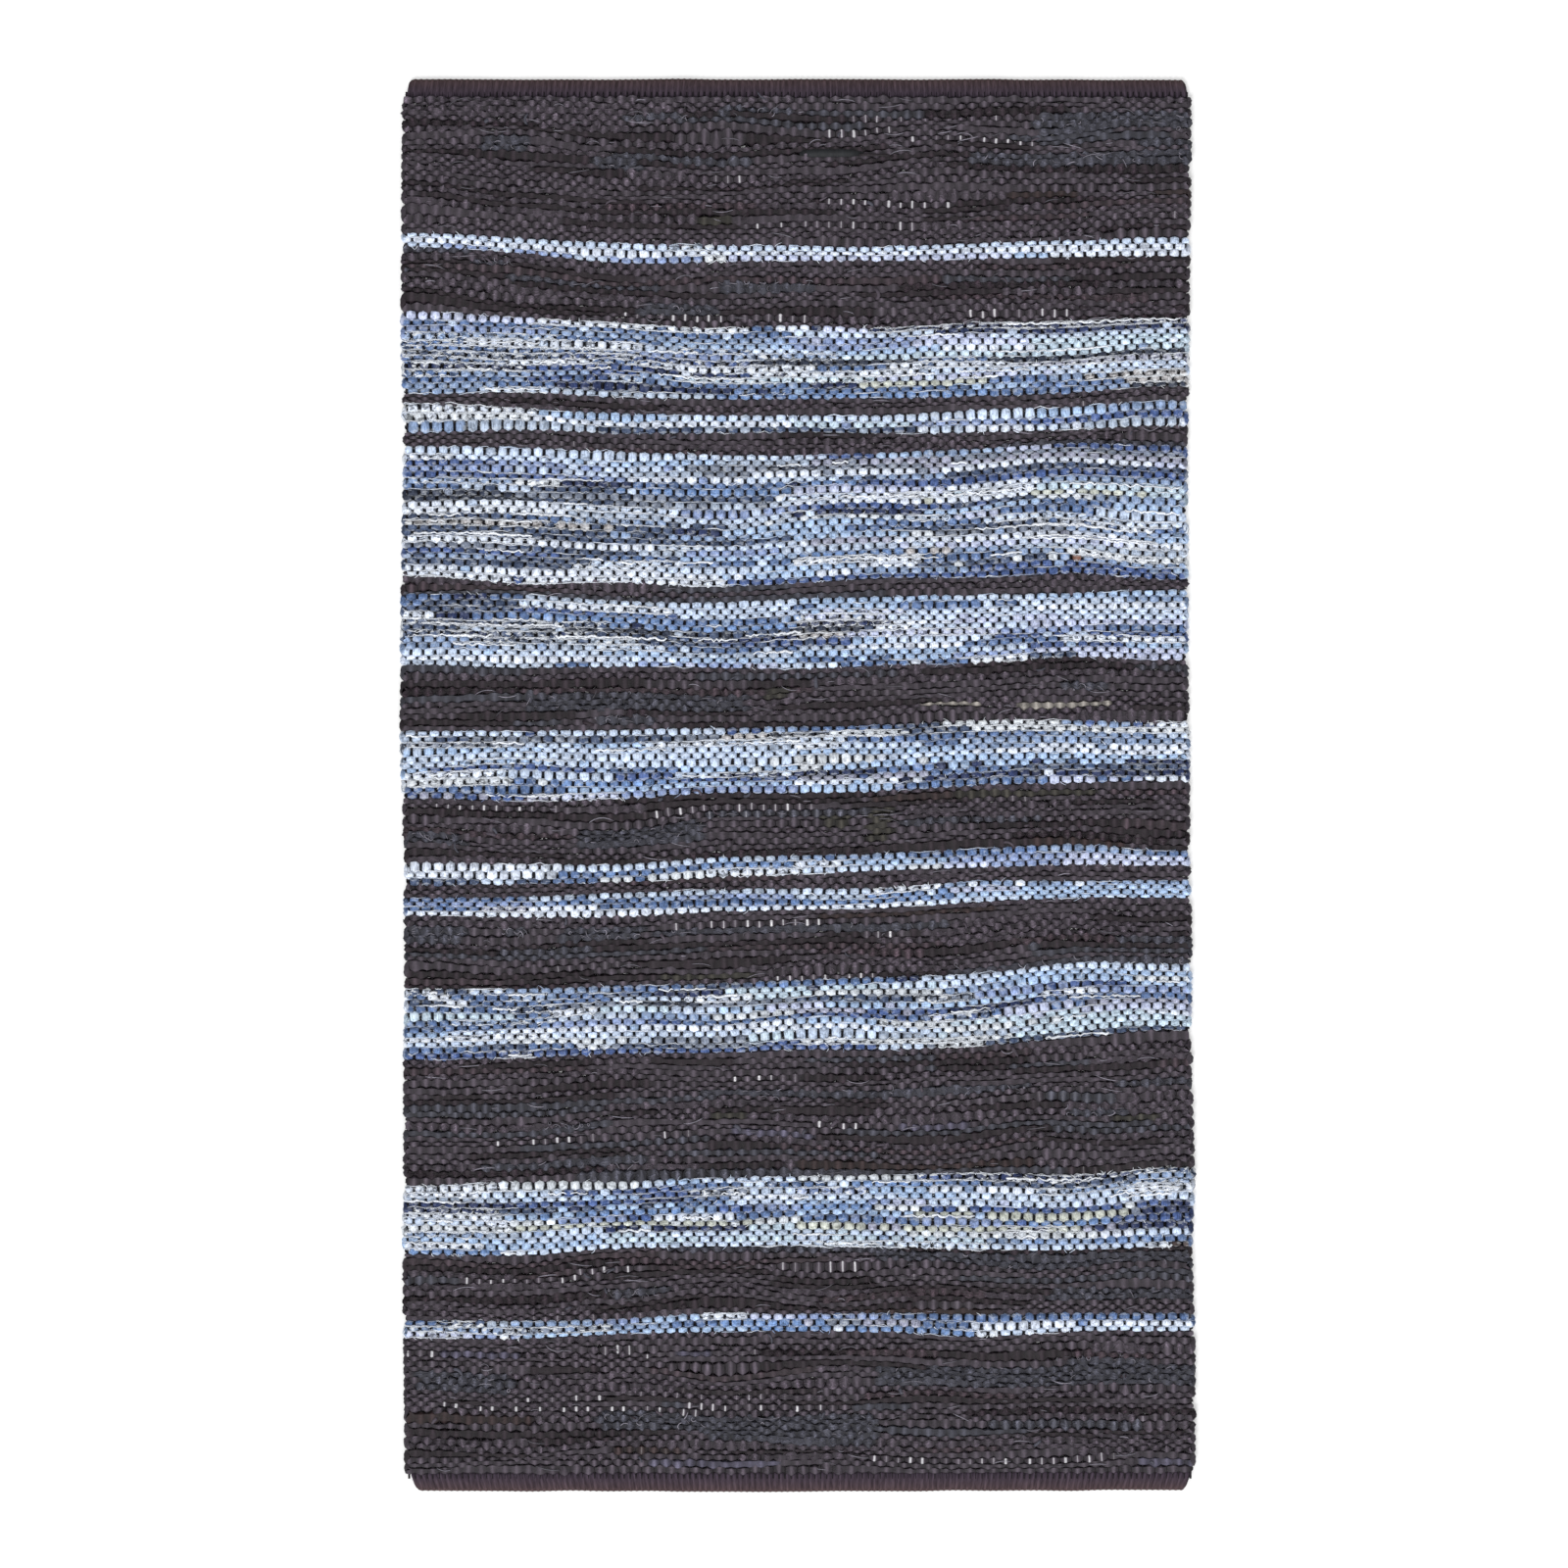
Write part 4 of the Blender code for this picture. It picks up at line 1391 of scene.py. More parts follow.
@dataclass
class FrayMaker:
    """Loose white and blue threads where the denim's raw edges have frayed.

    Some lie in zigzags between two rows, and short tufts point out of a row's edge.
    """

    loom: Loom
    band: Band
    rows: list[Row]
    name: str
    seed: int
    points: int = 5
    strand_gap: float = 0.0058
    tuft_gap: float = 0.0085
    plain_share: float = 0.13
    edge_share: float = 0.45
    top: float = 0.0072
    radius_mm: tuple[float, float] = (0.28, 0.46)
    taper: tuple[float, float, float] = (0.8, 1.0, 0.45)
    frayed_mix: float = 0.4
    plain_mix: float = 0.9
    strand_step_mm: tuple[float, float] = (1.4, 7.0)
    tuft_reach_mm: tuple[float, float] = (1.2, 3.4)
    selvedge_gap: float = 0.8 * MM

    def build(self, finish: bpy.types.Material) -> bpy.types.Object:
        """Make the band's loose threads as one piece.

        Args:
            finish: The thread's material.

        Returns:
            The piece.
        """
        self.rng = np.random.default_rng(self.seed)
        self.paths: list[np.ndarray] = []
        self.radii: list[float] = []
        self.tones: list[np.ndarray] = []
        last = len(self.rows) - 1
        for number, row in enumerate(self.rows):
            start = 0.0
            for run in read_runs(self.band.chart[number]):
                end = run.end / 100
                worn = 1.0 if run.frayed else self.plain_share
                for side, outer in ((1.0, number == 0), (-1.0, number == last)):
                    share = max(worn, self.edge_share) if outer else worn
                    reach = (end - start) * RUG_WIDTH / 2
                    self.lay(row, run, start, end, side, reach / self.strand_gap * worn, False)
                    self.lay(row, run, start, end, side, reach / self.tuft_gap * share, True)
                start = end
        taper = np.interp(np.arange(self.points), (0, 1, self.points - 1), self.taper)
        half = np.array(self.radii)[:, None] * taper[None, :]
        tones = np.array(self.tones)
        threads = Threads(self.name, np.array(self.paths), half * 1.2, half, tones, columns=12)
        return threads.build(finish, Slot.DENIM)

    def lay(
        self, row: Row, run: Run, start: float, end: float, side: float, count: float, tuft: bool
    ) -> None:
        """Lay loose threads along one edge of a run.

        Args:
            row: The row that they fray from.
            run: Its cloth there.
            start: Where the run starts across the rug, as a share.
            end: Where it ends.
            side: 1 for the row's far edge and -1 for its near one.
            count: How many threads to expect.
            tuft: Whether they are short tufts or lie along the edge.
        """
        pale = linear(CLOTHS["white"]) * 0.9
        own = dye(run.cloth)
        for share in self.rng.uniform(start, end, self.rng.poisson(count)):
            path = self.tuft(row, share, side) if tuft else self.strand(row, share, side)
            self.paths.append(path)
            self.radii.append(self.rng.uniform(*self.radius_mm) * MM)
            mix = self.rng.uniform(0.0, self.frayed_mix if run.frayed else self.plain_mix)
            self.tones.append(pale * (1 - mix) + own * mix)

    def strand(self, row: Row, share: float, side: float) -> np.ndarray:
        """The path of a thread that lies in a zigzag along a row's edge."""
        step = self.rng.uniform(*self.strand_step_mm) * MM
        middle = np.interp(share * (WARPS - 1), np.arange(WARPS), row.x)
        x = middle + (np.arange(self.points) - self.points / 2) * step
        x = x + self.rng.normal(0.0, 0.4 * MM, self.points)
        height = np.interp(x, row.x, row.height)
        away = side * height * 0.5 + self.rng.normal(0.0, 0.55 * MM, self.points)
        z = self.top + self.rng.normal(0.0, 0.25 * MM, self.points)
        z[[0, -1]] -= 1.4 * MM
        return self.place(row, x, away, z)

    def tuft(self, row: Row, share: float, side: float) -> np.ndarray:
        """The path of a short tuft that points out of a row's edge."""
        reach = self.rng.uniform(*self.tuft_reach_mm) * MM
        lean = self.rng.normal(0.0, 0.5)
        curl = self.rng.normal(0.0, 0.8)
        step = np.linspace(0.0, 1.0, self.points)
        middle = np.interp(share * (WARPS - 1), np.arange(WARPS), row.x)
        x = middle + reach * (lean * step + curl * step**2)
        height = np.interp(x, row.x, row.height)
        away = side * (height * 0.30 + reach * step)
        z = self.top - 0.3 * MM + self.rng.uniform(-0.4, 0.5) * MM - step**2 * 0.9 * MM
        return self.place(row, x, away, z)

    def place(self, row: Row, x: np.ndarray, away: np.ndarray, z: np.ndarray) -> np.ndarray:
        """Points at these places beside a row's middle line, kept inside the selvedges."""
        along = np.interp(x, row.x, row.along) - away
        gap = self.selvedge_gap
        x = np.clip(x, self.loom.left(along) + gap, self.loom.right(along) - gap)
        return np.column_stack([x, self.loom.y(along), z])


@dataclass
class LongThreads:
    """The long white threads, cut into short strands that join end to end."""

    loom: Loom
    bands: list[list[Row]]
    name: str = "denim_threads"
    seed: int = 91
    points: int = 6
    step: float = 0.0022
    waves: float = 2 * math.pi / 0.0094
    wave_mm: float = 0.6
    jitter_mm: float = 0.45
    top: float = 0.0073
    radius_mm: tuple[float, float] = (0.45, 1.05)

    def __post_init__(self) -> None:
        """Start the random numbers and gather the rows of denim."""
        self.rng = np.random.default_rng(self.seed)
        found = zip(BANDS, self.bands)
        self.rows = [row for band, rows in found if band.strip is DENIM for row in rows]

    def course(self, start: float, end: float, place: float) -> np.ndarray:
        """Work out where one thread lies.

        Args:
            start: Its left end, in per cent across the rug.
            end: Its right end.
            place: Its place along the rug.

        Returns:
            Its points, enough for a whole number of strands.
        """
        low = self.loom.shift + (start / 100 - 0.495) * RUG_WIDTH
        high = self.loom.shift + (end / 100 - 0.505) * RUG_WIDTH
        middle = (low + high) / 2
        strands = max(1, round((high - low) / (self.step * (self.points - 1))))
        x = np.linspace(low, high, strands * (self.points - 1) + 1)
        gaps = [abs(np.interp(middle, row.x, row.along) - place) for row in self.rows]
        row = self.rows[int(np.argmin(gaps))]
        along = np.interp(x, row.x, row.along) + place - np.interp(middle, row.x, row.along)
        swing = np.sin(x * self.waves + self.rng.uniform(0.0, 6.0))
        along = along + swing * self.rng.uniform(0.0, self.wave_mm) * MM
        along = along + self.rng.normal(0.0, self.jitter_mm * MM, len(x))
        z = self.top + wander(self.rng, x, 0.007, 0.0005)
        return np.column_stack([x, self.loom.y(along), z])

    def build(self, finish: bpy.types.Material) -> bpy.types.Object:
        """Make all of them as one piece.

        Args:
            finish: The thread's material.

        Returns:
            The piece.
        """
        paths, radii = [], []
        for start, end, along_mm in LONG_THREADS:
            course = self.course(start, end, along_mm * MM)
            for first in range(0, len(course) - 1, self.points - 1):
                paths.append(course[first : first + self.points])
                radii.append(self.rng.uniform(*self.radius_mm) * MM)
        half = np.array(radii)[:, None] * self.rng.uniform(0.75, 1.25, (len(radii), self.points))
        tones = linear(CLOTHS["white"]) * self.rng.uniform(0.75, 1.1, (len(paths), 1))
        threads = Threads(self.name, np.array(paths), half * 1.2, half * 0.7, tones, columns=12)
        return threads.build(finish, Slot.DENIM)


@dataclass
class LeatherEnds:
    """Flat ends, thin curls and flaps of hide that lie on top of the leather bands."""

    loom: Loom
    bands: list[list[Row]]
    name: str = "leather_ends"
    seed: int = 77
    ends: int = 120
    curls: int = 640
    points: int = 6
    top: float = 0.0064
    half_height: float = 0.35 * MM
    end_reach_mm: tuple[float, float] = (3.0, 10.0)
    end_width_mm: tuple[float, float] = (0.7, 2.0)
    row_curl_mm: tuple[float, float] = (4.0, 20.0)
    streak_curl_mm: tuple[float, float] = (2.5, 8.0)
    curl_width_mm: tuple[float, float] = (0.26, 0.48)
    curl_colour: tuple[int, int, int] = (134, 130, 142)
    curl_margin: float = 0.295
    taper: tuple[float, float, float, float] = (0.5, 1.0, 0.9, 0.3)

    def __post_init__(self) -> None:
        """Start the random numbers and gather what the ends lie on."""
        self.rng = np.random.default_rng(self.seed)
        self.hides = [rows for rows, band in zip(self.bands, BANDS) if band.strip is LEATHER]
        depths = np.array([len(rows) for rows in self.hides], dtype=float)
        self.chances = depths / depths.sum()
        self.slates = [streak for streak in STREAKS if streak.hide == "slate"]
        self.steps = np.linspace(0.0, 1.0, self.points)
        self.paths: list[np.ndarray] = []
        self.widths: list[float] = []
        self.tones: list[np.ndarray] = []

    def any_row(self) -> Row:
        """Draw a row of leather, each as likely as the next."""
        rows = self.hides[int(self.rng.choice(len(self.hides), p=self.chances))]
        return rows[int(self.rng.integers(len(rows)))]

    def keep(self, path: Sequence[np.ndarray], width: float, tone: np.ndarray) -> None:
        """Keep one end.

        Args:
            path: X, Y and Z of its points.
            width: Half its width.
            tone: Its colour.
        """
        self.paths.append(np.column_stack(path))
        self.widths.append(width)
        self.tones.append(tone)

    def lay_end(self) -> None:
        """Lay a flat cut end that points either way along a row."""
        row = self.any_row()
        warp = self.rng.uniform(3, WARPS - 4)
        x0 = np.interp(warp, np.arange(WARPS), row.x)
        along = np.interp(warp, np.arange(WARPS), row.along)
        heading = self.rng.normal(0.0, 0.55) + (math.pi if self.rng.random() < 0.5 else 0.0)
        reach = self.rng.uniform(*self.end_reach_mm) * MM
        turn = heading + self.steps * self.rng.normal(0.0, 0.8)
        x = x0 + reach * self.steps * np.cos(turn)
        y = self.loom.y(along) + reach * self.steps * np.sin(turn)
        arch = np.sin(self.steps * math.pi) * self.rng.uniform(0.2, 0.9)
        z = self.top + (arch - 0.9 * (self.steps < 0.1)) * MM
        width = self.rng.uniform(*self.end_width_mm) * MM
        hide = str(self.rng.choice(("charcoal", "slate", "soot"), p=(0.6, 0.25, 0.15)))
        self.keep((x, y, z), width, linear(HIDES[hide]) * 0.9)

    def lay_curl(self, x0: float, along: float, heading: float, reach: float, bend: float) -> None:
        """Lay a thin curl.

        Args:
            x0: X of its middle.
            along: Its middle's place along the rug.
            heading: The way it points there, in radians from +X.
            reach: Its length.
            bend: How far it turns from end to end, in radians.
        """
        turn = heading + bend * (self.steps - 0.5)
        x = x0 + reach * (self.steps - 0.5) * np.cos(turn)
        y = self.loom.y(along) + reach * (self.steps - 0.5) * np.sin(turn)
        x = np.clip(x, self.loom.shift - self.curl_margin, self.loom.shift + self.curl_margin)
        z = self.top + 0.35 * MM + self.rng.normal(0.0, 0.15 * MM, self.points)
        z[[0, -1]] -= 0.9 * MM
        width = self.rng.uniform(*self.curl_width_mm) * MM
        self.keep((x, y, z), width, linear(self.curl_colour) * self.rng.uniform(0.25, 1.1))

    def curl_on_row(self) -> None:
        """Lay a long, nearly straight curl along any row."""
        row = self.any_row()
        x0 = self.rng.uniform(row.x[3], row.x[-4])
        along = np.interp(x0, row.x, row.along)
        heading = self.rng.normal(0.0, 0.15)
        reach = self.rng.uniform(*self.row_curl_mm) * MM
        self.lay_curl(x0, along, heading, reach, self.rng.normal(0.0, 0.4))

    def curl_on_streak(self) -> None:
        """Lay a short, bent curl on a streak of slate hide."""
        streak = self.slates[int(self.rng.integers(len(self.slates)))]
        share = self.rng.uniform(streak.start, streak.end) / 100
        x0 = self.loom.shift + np.clip(share - 0.5, -0.485, 0.485) * RUG_WIDTH
        along = (streak.along_mm + streak.reach_mm * self.rng.uniform(-1.0, 1.0)) * MM
        heading = self.rng.uniform(-1.2, 1.2)
        reach = self.rng.uniform(*self.streak_curl_mm) * MM
        self.lay_curl(x0, along, heading, reach, self.rng.normal(0.0, 1.6))

    def lay_patch(self, patch: Patch) -> None:
        """Lay a smooth flap."""
        x = self.loom.shift - RUG_WIDTH / 2 + np.linspace(patch.left, patch.right, self.points)
        y = self.loom.y(patch.along + patch.droop * self.steps**2)
        z = np.full(self.points, self.top + 0.35 * MM)
        z[[0, -1]] -= 1.0 * MM
        self.keep((x, y, z), patch.width / 2, linear(HIDES[patch.hide]) * 0.5)

    def build(self, finish: bpy.types.Material) -> bpy.types.Object:
        """Make all the ends as one piece.

        Args:
            finish: The hide's material.

        Returns:
            The piece.
        """
        for _ in range(self.ends):
            self.lay_end()
        for number in range(self.curls):
            if number % 2:
                self.curl_on_row()
            else:
                self.curl_on_streak()
        for patch in PATCHES:
            self.lay_patch(patch)
        last = self.points - 1
        taper = np.interp(np.arange(self.points), (0, 1, last - 1, last), self.taper)
        half_width = np.array(self.widths)[:, None] * taper[None, :]
        half_height = np.full(half_width.shape, self.half_height)
        paths, tones = np.array(self.paths), np.array(self.tones)
        threads = Threads(self.name, paths, half_width, half_height, tones, sides=4)
        return threads.build(finish, Slot.LEATHER)


Number = Union[float, "Signal"]


class Signal:
    """A node's output; arithmetic on it adds Math nodes to its tree."""

    def __init__(self, bench: "Bench", socket: bpy.types.NodeSocket) -> None:
        """Keep the output and the bench that it belongs to."""
        self.bench = bench
        self.socket = socket

    def math(self, operation: str, *values: Number) -> "Signal":
        """Add a Math node on these values."""
        return self.bench.add("ShaderNodeMath", {"operation": operation}, dict(enumerate(values)))

    def __add__(self, other: Number) -> "Signal":
        """Sum."""
        return self.math("ADD", self, other)

    def __radd__(self, other: Number) -> "Signal":
        """Sum, the other way round."""
        return self.math("ADD", other, self)

    def __sub__(self, other: Number) -> "Signal":
        """Difference."""
        return self.math("SUBTRACT", self, other)

    def __rsub__(self, other: Number) -> "Signal":
        """Difference, the other way round."""
        return self.math("SUBTRACT", other, self)

    def __mul__(self, other: Number) -> "Signal":
        """Product."""
        return self.math("MULTIPLY", self, other)

    def __rmul__(self, other: Number) -> "Signal":
        """Product, the other way round."""
        return self.math("MULTIPLY", other, self)

    def __truediv__(self, other: Number) -> "Signal":
        """Quotient."""
        return self.math("DIVIDE", self, other)

    def __abs__(self) -> "Signal":
        """Size without sign."""
        return self.math("ABSOLUTE", self)

    def clamp(self) -> "Signal":
        """The value kept between 0 and 1."""
        return self.bench.add("ShaderNodeClamp", {}, {0: self})

    def rise(self, low: float, high: float) -> "Signal":
        """A smooth step from 0 at low to 1 at high."""
        settings = {"interpolation_type": "SMOOTHSTEP"}
        return self.bench.add("ShaderNodeMapRange", settings, {0: self, 1: low, 2: high, 3: 0.0, 4: 1.0})


class Bench:
    """A material's node tree and the few ways in which nodes are added to it."""

    def __init__(self, name: str) -> None:
        """Start a material with only a shader in it."""
        self.material = bpy.data.materials.new(name)
        self.material.use_nodes = True
        self.tree = self.material.node_tree
        self.shader = self.tree.nodes["Principled BSDF"]

    def plug(self, socket: bpy.types.NodeSocket, value: Any) -> None:
        """Set a socket to a value or link it to a signal."""
        if isinstance(value, Signal):
            self.tree.links.new(value.socket, socket)
        else:
            socket.default_value = value

    def add(
        self,
        kind: str,
        settings: dict[str, Any],
        values: dict[Union[int, str], Any],
        output: Union[int, str] = 0,
    ) -> Signal:
        """Add a node.

        Args:
            kind: Its type.
            settings: Its own settings, set first; "stops" fills a ramp.
            values: Values or signals for its sockets, by number or name.
            output: Which of its outputs is wanted.

        Returns:
            That output.
        """
        node = self.tree.nodes.new(kind)
        for key, value in settings.items():
            if key == "stops":
                for extra in value[2:]:
                    node.color_ramp.elements.new(extra[0])
                for element, (place, colour) in zip(node.color_ramp.elements, value):
                    element.position = place
                    element.color = colour
            else:
                setattr(node, key, value)
        for key, value in values.items():
            self.plug(node.inputs[key], value)
        return Signal(self, node.outputs[output])

    def mix(self, factor: Number, first: Any, second: Any) -> Signal:
        """Blend two colours."""
        settings = {"data_type": "RGBA", "blend_type": "MIX", "clamp_factor": True}
        return self.add("ShaderNodeMix", settings, {0: factor, 6: first, 7: second}, output=2)

    def shaded(self, colour: Signal, shade: Number) -> Signal:
        """Make a colour lighter or darker."""
        return self.add("ShaderNodeVectorMath", {"operation": "SCALE"}, {0: colour, 3: shade})

    def stretch(self, vector: Signal, scale: Sequence[float]) -> Signal:
        """Scale a vector, each axis by its own amount."""
        return self.add("ShaderNodeVectorMath", {"operation": "MULTIPLY"}, {0: vector, 1: tuple(scale)})

    def noise(self, vector: Signal, scale: float, rough: float = 0.5, detail: float = 2.0) -> Signal:
        """Soft random values around 0.5."""
        values = {"Vector": vector, "Scale": scale, "Detail": detail, "Roughness": rough}
        return self.add("ShaderNodeTexNoise", {}, values)

    def attribute(self, name: str, output: str) -> Signal:
        """A value kept on the mesh."""
        return self.add("ShaderNodeAttribute", {"attribute_name": name}, {}, output=output)

    def strand(self) -> Signal:
        """Distance along the strand and round it, in metres."""
        return self.add("ShaderNodeUVMap", {"uv_map": "Strand"}, {}, output="UV")

    def part(self, vector: Signal, axis: str) -> Signal:
        """One of a vector's three values."""
        return self.add("ShaderNodeSeparateXYZ", {}, {0: vector}, axis)

    def bump(self, height: Signal, distance: float) -> Signal:
        """A normal tilted by a height, whose full range is distance metres."""
        values = {"Height": height, "Distance": distance, "Strength": 1.0}
        return self.add("ShaderNodeBump", {}, values, output="Normal")

    def dress(self, **inputs: Any) -> bpy.types.Material:
        """Set the shader's inputs, named in words joined by underscores."""
        for key, value in inputs.items():
            self.plug(self.shader.inputs[key.replace("_", " ").title().replace("Ior", "IOR")], value)
        return self.material


@dataclass(frozen=True)
class DenimFinish:
    """Washed denim: uneven dye, thread speckle, pale fuzz where it frays and painted shade in wiggly
    hollows of the fuzz.
    """

    girth: float = 0.0155
    cloud: float = 0.70
    cloud_scale: float = 130.0
    speckle: float = 2.00
    grain_scale: float = 800.0
    fluff_scale: float = 460.0
    fluff_stretch: float = 0.26
    edge_place: float = 0.583
    edge_reach: float = 0.03
    edge_fade: float = 0.06
    fuzz_colour: tuple[int, int, int] = (236, 240, 244)
    fuzz_light: float = 0.85
    roughness: float = 0.92
    specular: float = 0.15
    thread_depth: float = 0.00045

    def make(self) -> bpy.types.Material:
        """Build the material."""
        bench = Bench("denim")
        strand = bench.strand()
        tone = bench.attribute("Tone", "Color")
        worn = bench.attribute("Worn", "Fac")
        cloud = bench.noise(strand, self.cloud_scale, 0.6, 3.0)
        grain = bench.noise(bench.stretch(strand, (1.0, 0.7, 1.0)), self.grain_scale, 0.6)
        fluff = bench.noise(bench.stretch(strand, (self.fluff_stretch, 1.0, 1.0)), self.fluff_scale, 0.7)
        shade = 1.0 + (cloud - 0.5) * self.cloud + (grain - 0.5) * self.speckle
        from_edge = abs(bench.part(strand, "Y") / self.girth - self.edge_place)
        edge = ((from_edge - self.edge_reach) / self.edge_fade).clamp()
        # painted shade: darker where the fuzz noise is low, more so where the cloth frays
        deep = 1.0 - fluff.rise(0.40, 0.47)
        gaps = 1.0 - deep * (worn * 0.45 + 0.25)
        shaded = bench.shaded(tone, shade * gaps)
        white = (*(linear(self.fuzz_colour) * self.fuzz_light), 1.0)
        fuzz = (fluff + edge * 0.10).rise(0.58, 0.62) * (worn * 0.85 + 0.10)
        colour = bench.mix(fuzz.clamp(), shaded, white)
        height = grain * 0.5 + fluff * 0.5
        return bench.dress(
            base_color=colour,
            roughness=self.roughness,
            specular_ior_level=self.specular,
            normal=bench.bump(height, self.thread_depth),
        )


@dataclass(frozen=True)
class LeatherFinish:
    """Soft garment leather: creases along the strip, fine grain, patches of shine and painted glints on
    the glossy crests.
    """

    crease_scale: float = 380.0
    crease_stretch: float = 0.30
    crease_sharpness: float = 22.0
    grain_scale: float = 900.0
    patch_scale: float = 110.0
    middle_light: float = 0.88
    crease_depth: float = 0.0006
    dull: float = 0.62
    glossy: float = 0.14
    polish: float = 0.46
    polish_colour: tuple[float, float, float, float] = (0.85, 0.85, 0.88, 1.0)
    specular: float = 0.30

    def make(self) -> bpy.types.Material:
        """Build the material."""
        bench = Bench("leather")
        strand = bench.strand()
        tone = bench.attribute("Tone", "Color")
        worn = bench.attribute("Worn", "Fac")
        shine = bench.attribute("Shine", "Fac")
        crease = bench.noise(bench.stretch(strand, (self.crease_stretch, 1.0, 1.0)), self.crease_scale)
        ridge = 1.0 - (abs(crease - 0.5) * self.crease_sharpness).clamp()
        grain = bench.noise(strand, self.grain_scale, 0.6)
        patch = bench.noise(strand, self.patch_scale)
        cloud = self.middle_light + (patch - 0.5) * 1.4 + (grain - 0.5) * 1.0
        shaded = bench.shaded(tone, cloud + ridge * (worn * 0.90 + 0.15))
        # painted glints: a pale colour mixed in where the hide is glossiest, on the crests
        glinted = bench.mix(shine.rise(0.45, 0.75) * self.polish, shaded, self.polish_colour)
        rough = self.dull + (grain - 0.5) * 0.4 - shine * (self.dull - self.glossy)
        relief = ridge * (worn * 0.7 + 0.15) + grain * 0.25 + patch * 0.3
        height = relief * (1.0 - shine * 0.8)
        return bench.dress(
            base_color=glinted,
            roughness=rough.clamp(),
            specular_ior_level=self.specular,
            normal=bench.bump(height, self.crease_depth),
        )


@dataclass(frozen=True)
class CottonFinish:
    """Black cotton yarn, matt and slightly fuzzy."""

    yarn_scale: float = 800.0
    yarn_stretch: float = 0.15
    cloud_scale: float = 60.0
    roughness: float = 0.95
    specular: float = 0.1
    yarn_depth: float = 0.0006

    def make(self) -> bpy.types.Material:
        """Build the material."""
        bench = Bench("cotton")
        strand = bench.strand()
        tone = bench.attribute("Tone", "Color")
        yarn = bench.noise(bench.stretch(strand, (1.0, self.yarn_stretch, 1.0)), self.yarn_scale, 0.6)
        cloud = bench.noise(strand, self.cloud_scale)
        shade = 1.0 + (yarn - 0.5) * 1.8 + (cloud - 0.5) * 0.5
        return bench.dress(
            base_color=bench.shaded(tone, shade),
            roughness=self.roughness,
            specular_ior_level=self.specular,
            normal=bench.bump(yarn, self.yarn_depth),
        )


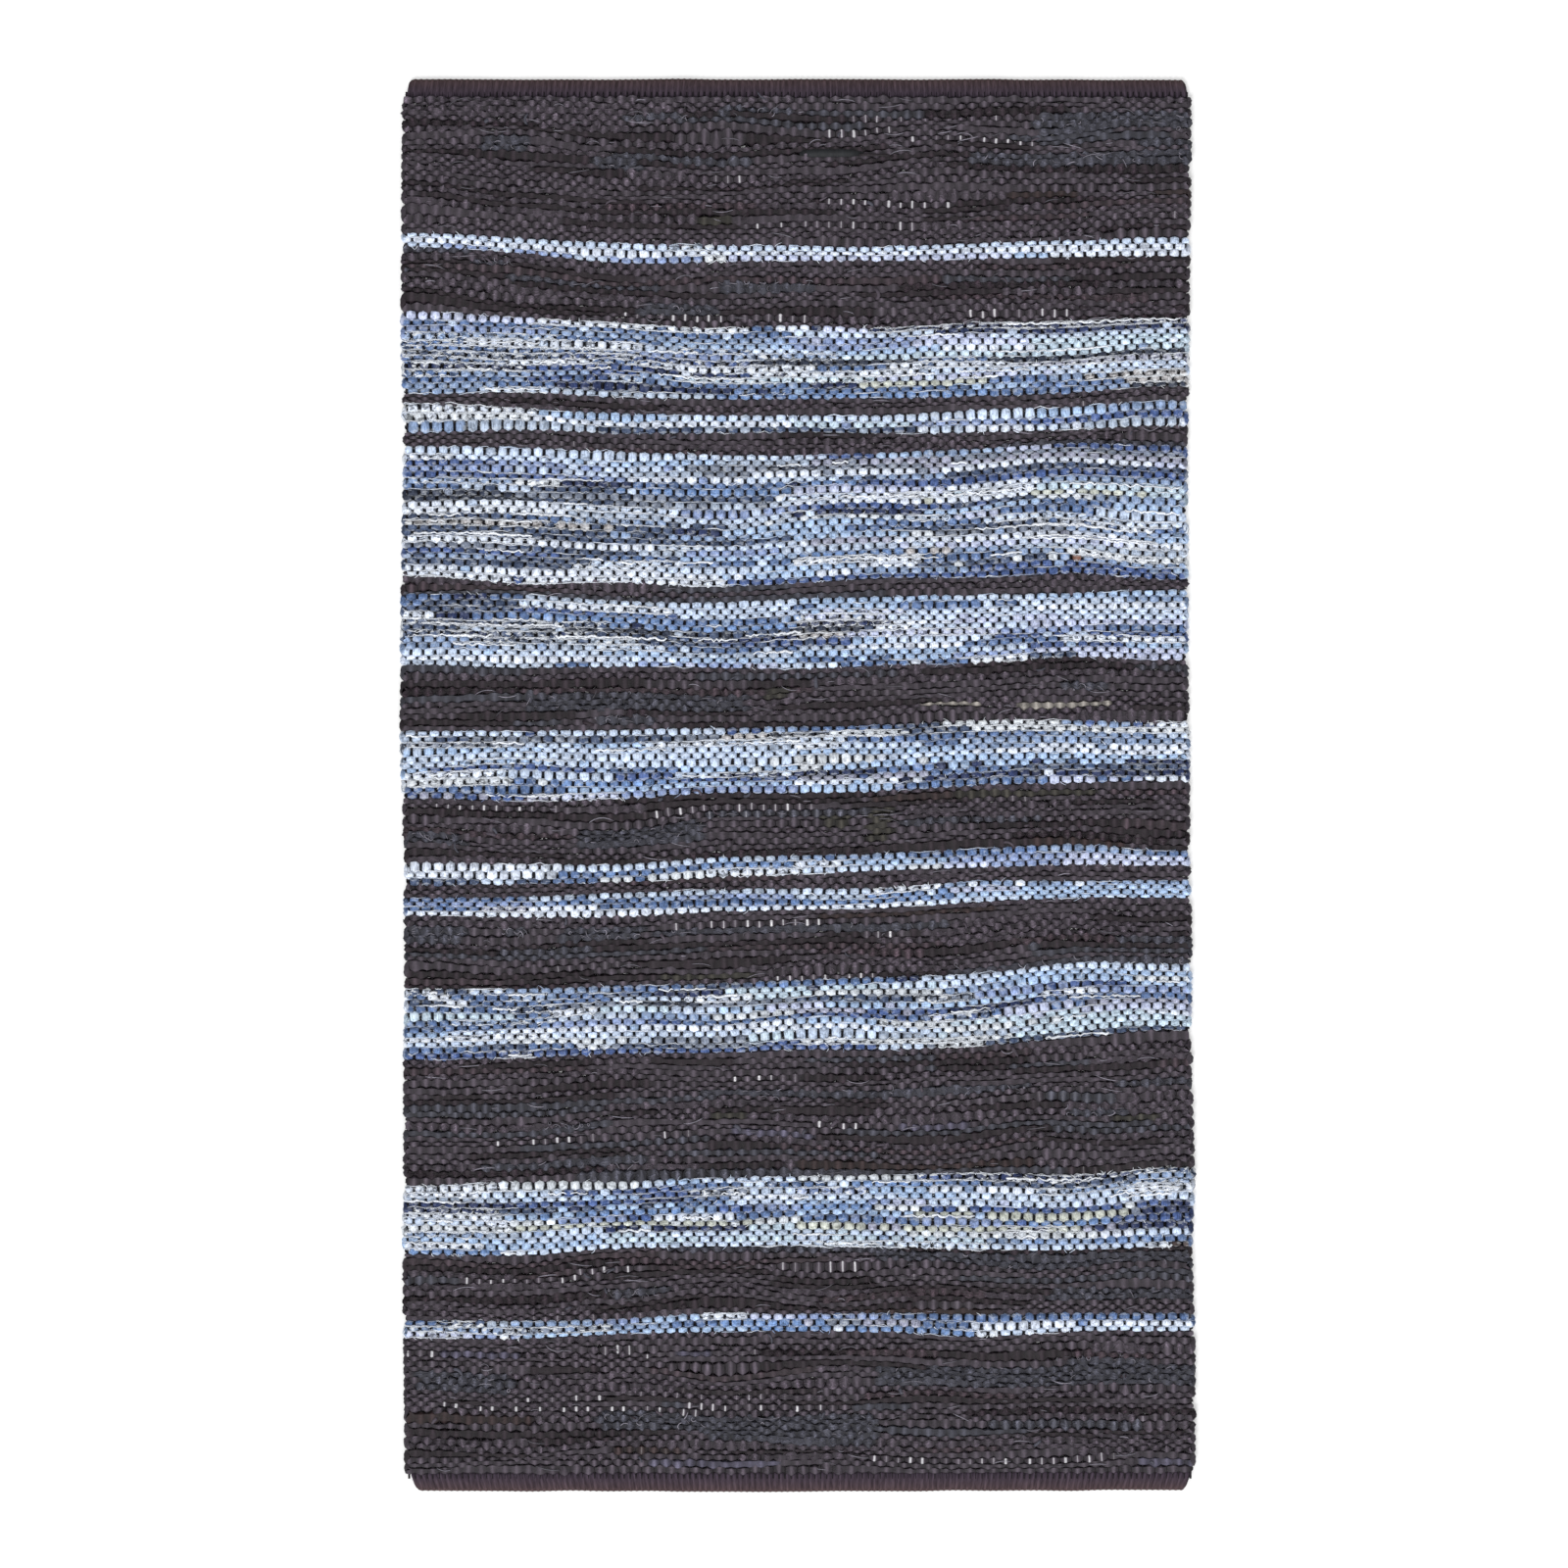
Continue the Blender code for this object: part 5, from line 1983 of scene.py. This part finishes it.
@dataclass
class Studio:
    """A plain pale floor, soft light from the near left, and a camera straight above."""

    floor_size: float = 40.0
    camera_x: float = -0.0105
    camera_y: float = 0.0010
    camera_height: float = 2.818
    lens: float = 85.0
    world_light: float = 0.62
    floor_drop: float = 0.0002
    floor_white: float = 0.92
    key_light: float = 1.6
    key_spread: float = 28.0
    key_heading: tuple[float, float, float] = (0.35, 1.1, -1.0)
    top_light: float = 0.9
    top_spread: float = 11.0
    top_heading: tuple[float, float, float] = (-0.02, 0.04, -1.0)

    def build(self) -> None:
        """Make the floor, lights and camera."""
        self.floor()
        self.lights()
        self.camera()
        bpy.context.scene.view_settings.view_transform = "Standard"

    def floor(self) -> None:
        """A large white floor just under the rug."""
        half = self.floor_size / 2
        mesh = bpy.data.meshes.new("floor")
        corners = [(-half, -half, 0), (half, -half, 0), (half, half, 0), (-half, half, 0)]
        mesh.from_pydata(corners, [], [(0, 1, 2, 3)])
        floor = bpy.data.objects.new("floor", mesh)
        floor.location.z = -self.floor_drop
        bench = Bench("floor")
        white = (self.floor_white,) * 3 + (1.0,)
        mesh.materials.append(bench.dress(base_color=white, roughness=0.9, specular_ior_level=0.0))
        bpy.context.scene.collection.objects.link(floor)
        floor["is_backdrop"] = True

    def lights(self) -> None:
        """An even sky, a broad low light and a small high one, which makes the shiny hide glint."""
        world = bpy.data.worlds.new("studio")
        world.use_nodes = True
        sky = world.node_tree.nodes["Background"]
        sky.inputs["Color"].default_value = (1.0, 1.0, 1.0, 1.0)
        sky.inputs["Strength"].default_value = self.world_light
        bpy.context.scene.world = world
        self.lamp("key", self.key_light, self.key_spread, self.key_heading)
        self.lamp("top", self.top_light, self.top_spread, self.top_heading)

    def lamp(self, name: str, power: float, spread: float, heading: Sequence[float]) -> None:
        """Add a distant light.

        Args:
            name: Its name.
            power: Its strength.
            spread: How many degrees across it looks.
            heading: The way its light travels.
        """
        data = bpy.data.lights.new(name, "SUN")
        data.energy = power
        data.angle = math.radians(spread)
        lamp = bpy.data.objects.new(name, data)
        lamp.rotation_euler = Vector(heading).to_track_quat("-Z", "Y").to_euler()
        bpy.context.scene.collection.objects.link(lamp)

    def camera(self) -> None:
        """A camera above the middle of the rug, level, with the far end at the top."""
        data = bpy.data.cameras.new("camera")
        data.lens = self.lens
        camera = bpy.data.objects.new("camera", data)
        camera.location = (self.camera_x, self.camera_y, self.camera_height)
        bpy.context.scene.collection.objects.link(camera)
        bpy.context.scene.camera = camera


def cut_lengths(rows: list[Row], most: int = 13) -> Iterable[list[Row]]:
    """Split a deep band into lengths of strip of at most this many rows."""
    parts = math.ceil(len(rows) / most)
    size = math.ceil(len(rows) / parts)
    for start in range(0, len(rows), size):
        yield rows[start : start + size]


def report(piece: bpy.types.Object) -> None:
    """Say how many faces a piece has."""
    LOG.info("%s: %d faces", piece.name, len(piece.data.polygons))


def main() -> None:
    """Build the rug and the studio."""
    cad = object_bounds()
    loom = Loom(*cad)
    denim = DenimFinish().make()
    leather = LeatherFinish().make()
    cotton = CottonFinish().make()
    makers = {Strip.DENIM: (DenimStrip, denim), Strip.LEATHER: (LeatherStrip, leather)}
    bands = loom.rows()
    for number, (band, rows) in enumerate(zip(BANDS, bands), start=1):
        maker, finish = makers[band.strip]
        for part, length in enumerate(cut_lengths(rows)):
            name = f"{band.strip.value}_band_{number:02d}_{'ab'[part]}"
            report(maker(loom, band, length, name, number * 10 + part).build(finish))
        if band.strip is Strip.DENIM:
            fray = FrayMaker(loom, band, rows, f"denim_fray_{number:02d}", number)
            report(fray.build(denim))
    report(LongThreads(loom, bands).build(denim))
    report(LeatherEnds(loom, bands).build(leather))
    for piece in WarpThreads(loom).build(cotton):
        report(piece)
    far = FoldedHem(loom, "cotton_hem_far", True, 7, 0.92, 5.5 * MM, 3.5 * MM, 5.0 * MM, 3.0 * MM)
    near = FoldedHem(loom, "cotton_hem_near", False, 8, 1.18, 9.0 * MM, 4.5 * MM, 7.5 * MM, 3.5 * MM)
    for hem in (far, near):
        report(hem.build(cotton))
    Studio().build()


if __name__ == "__main__":
    logging.basicConfig(level=logging.INFO, format="%(message)s")
    main()
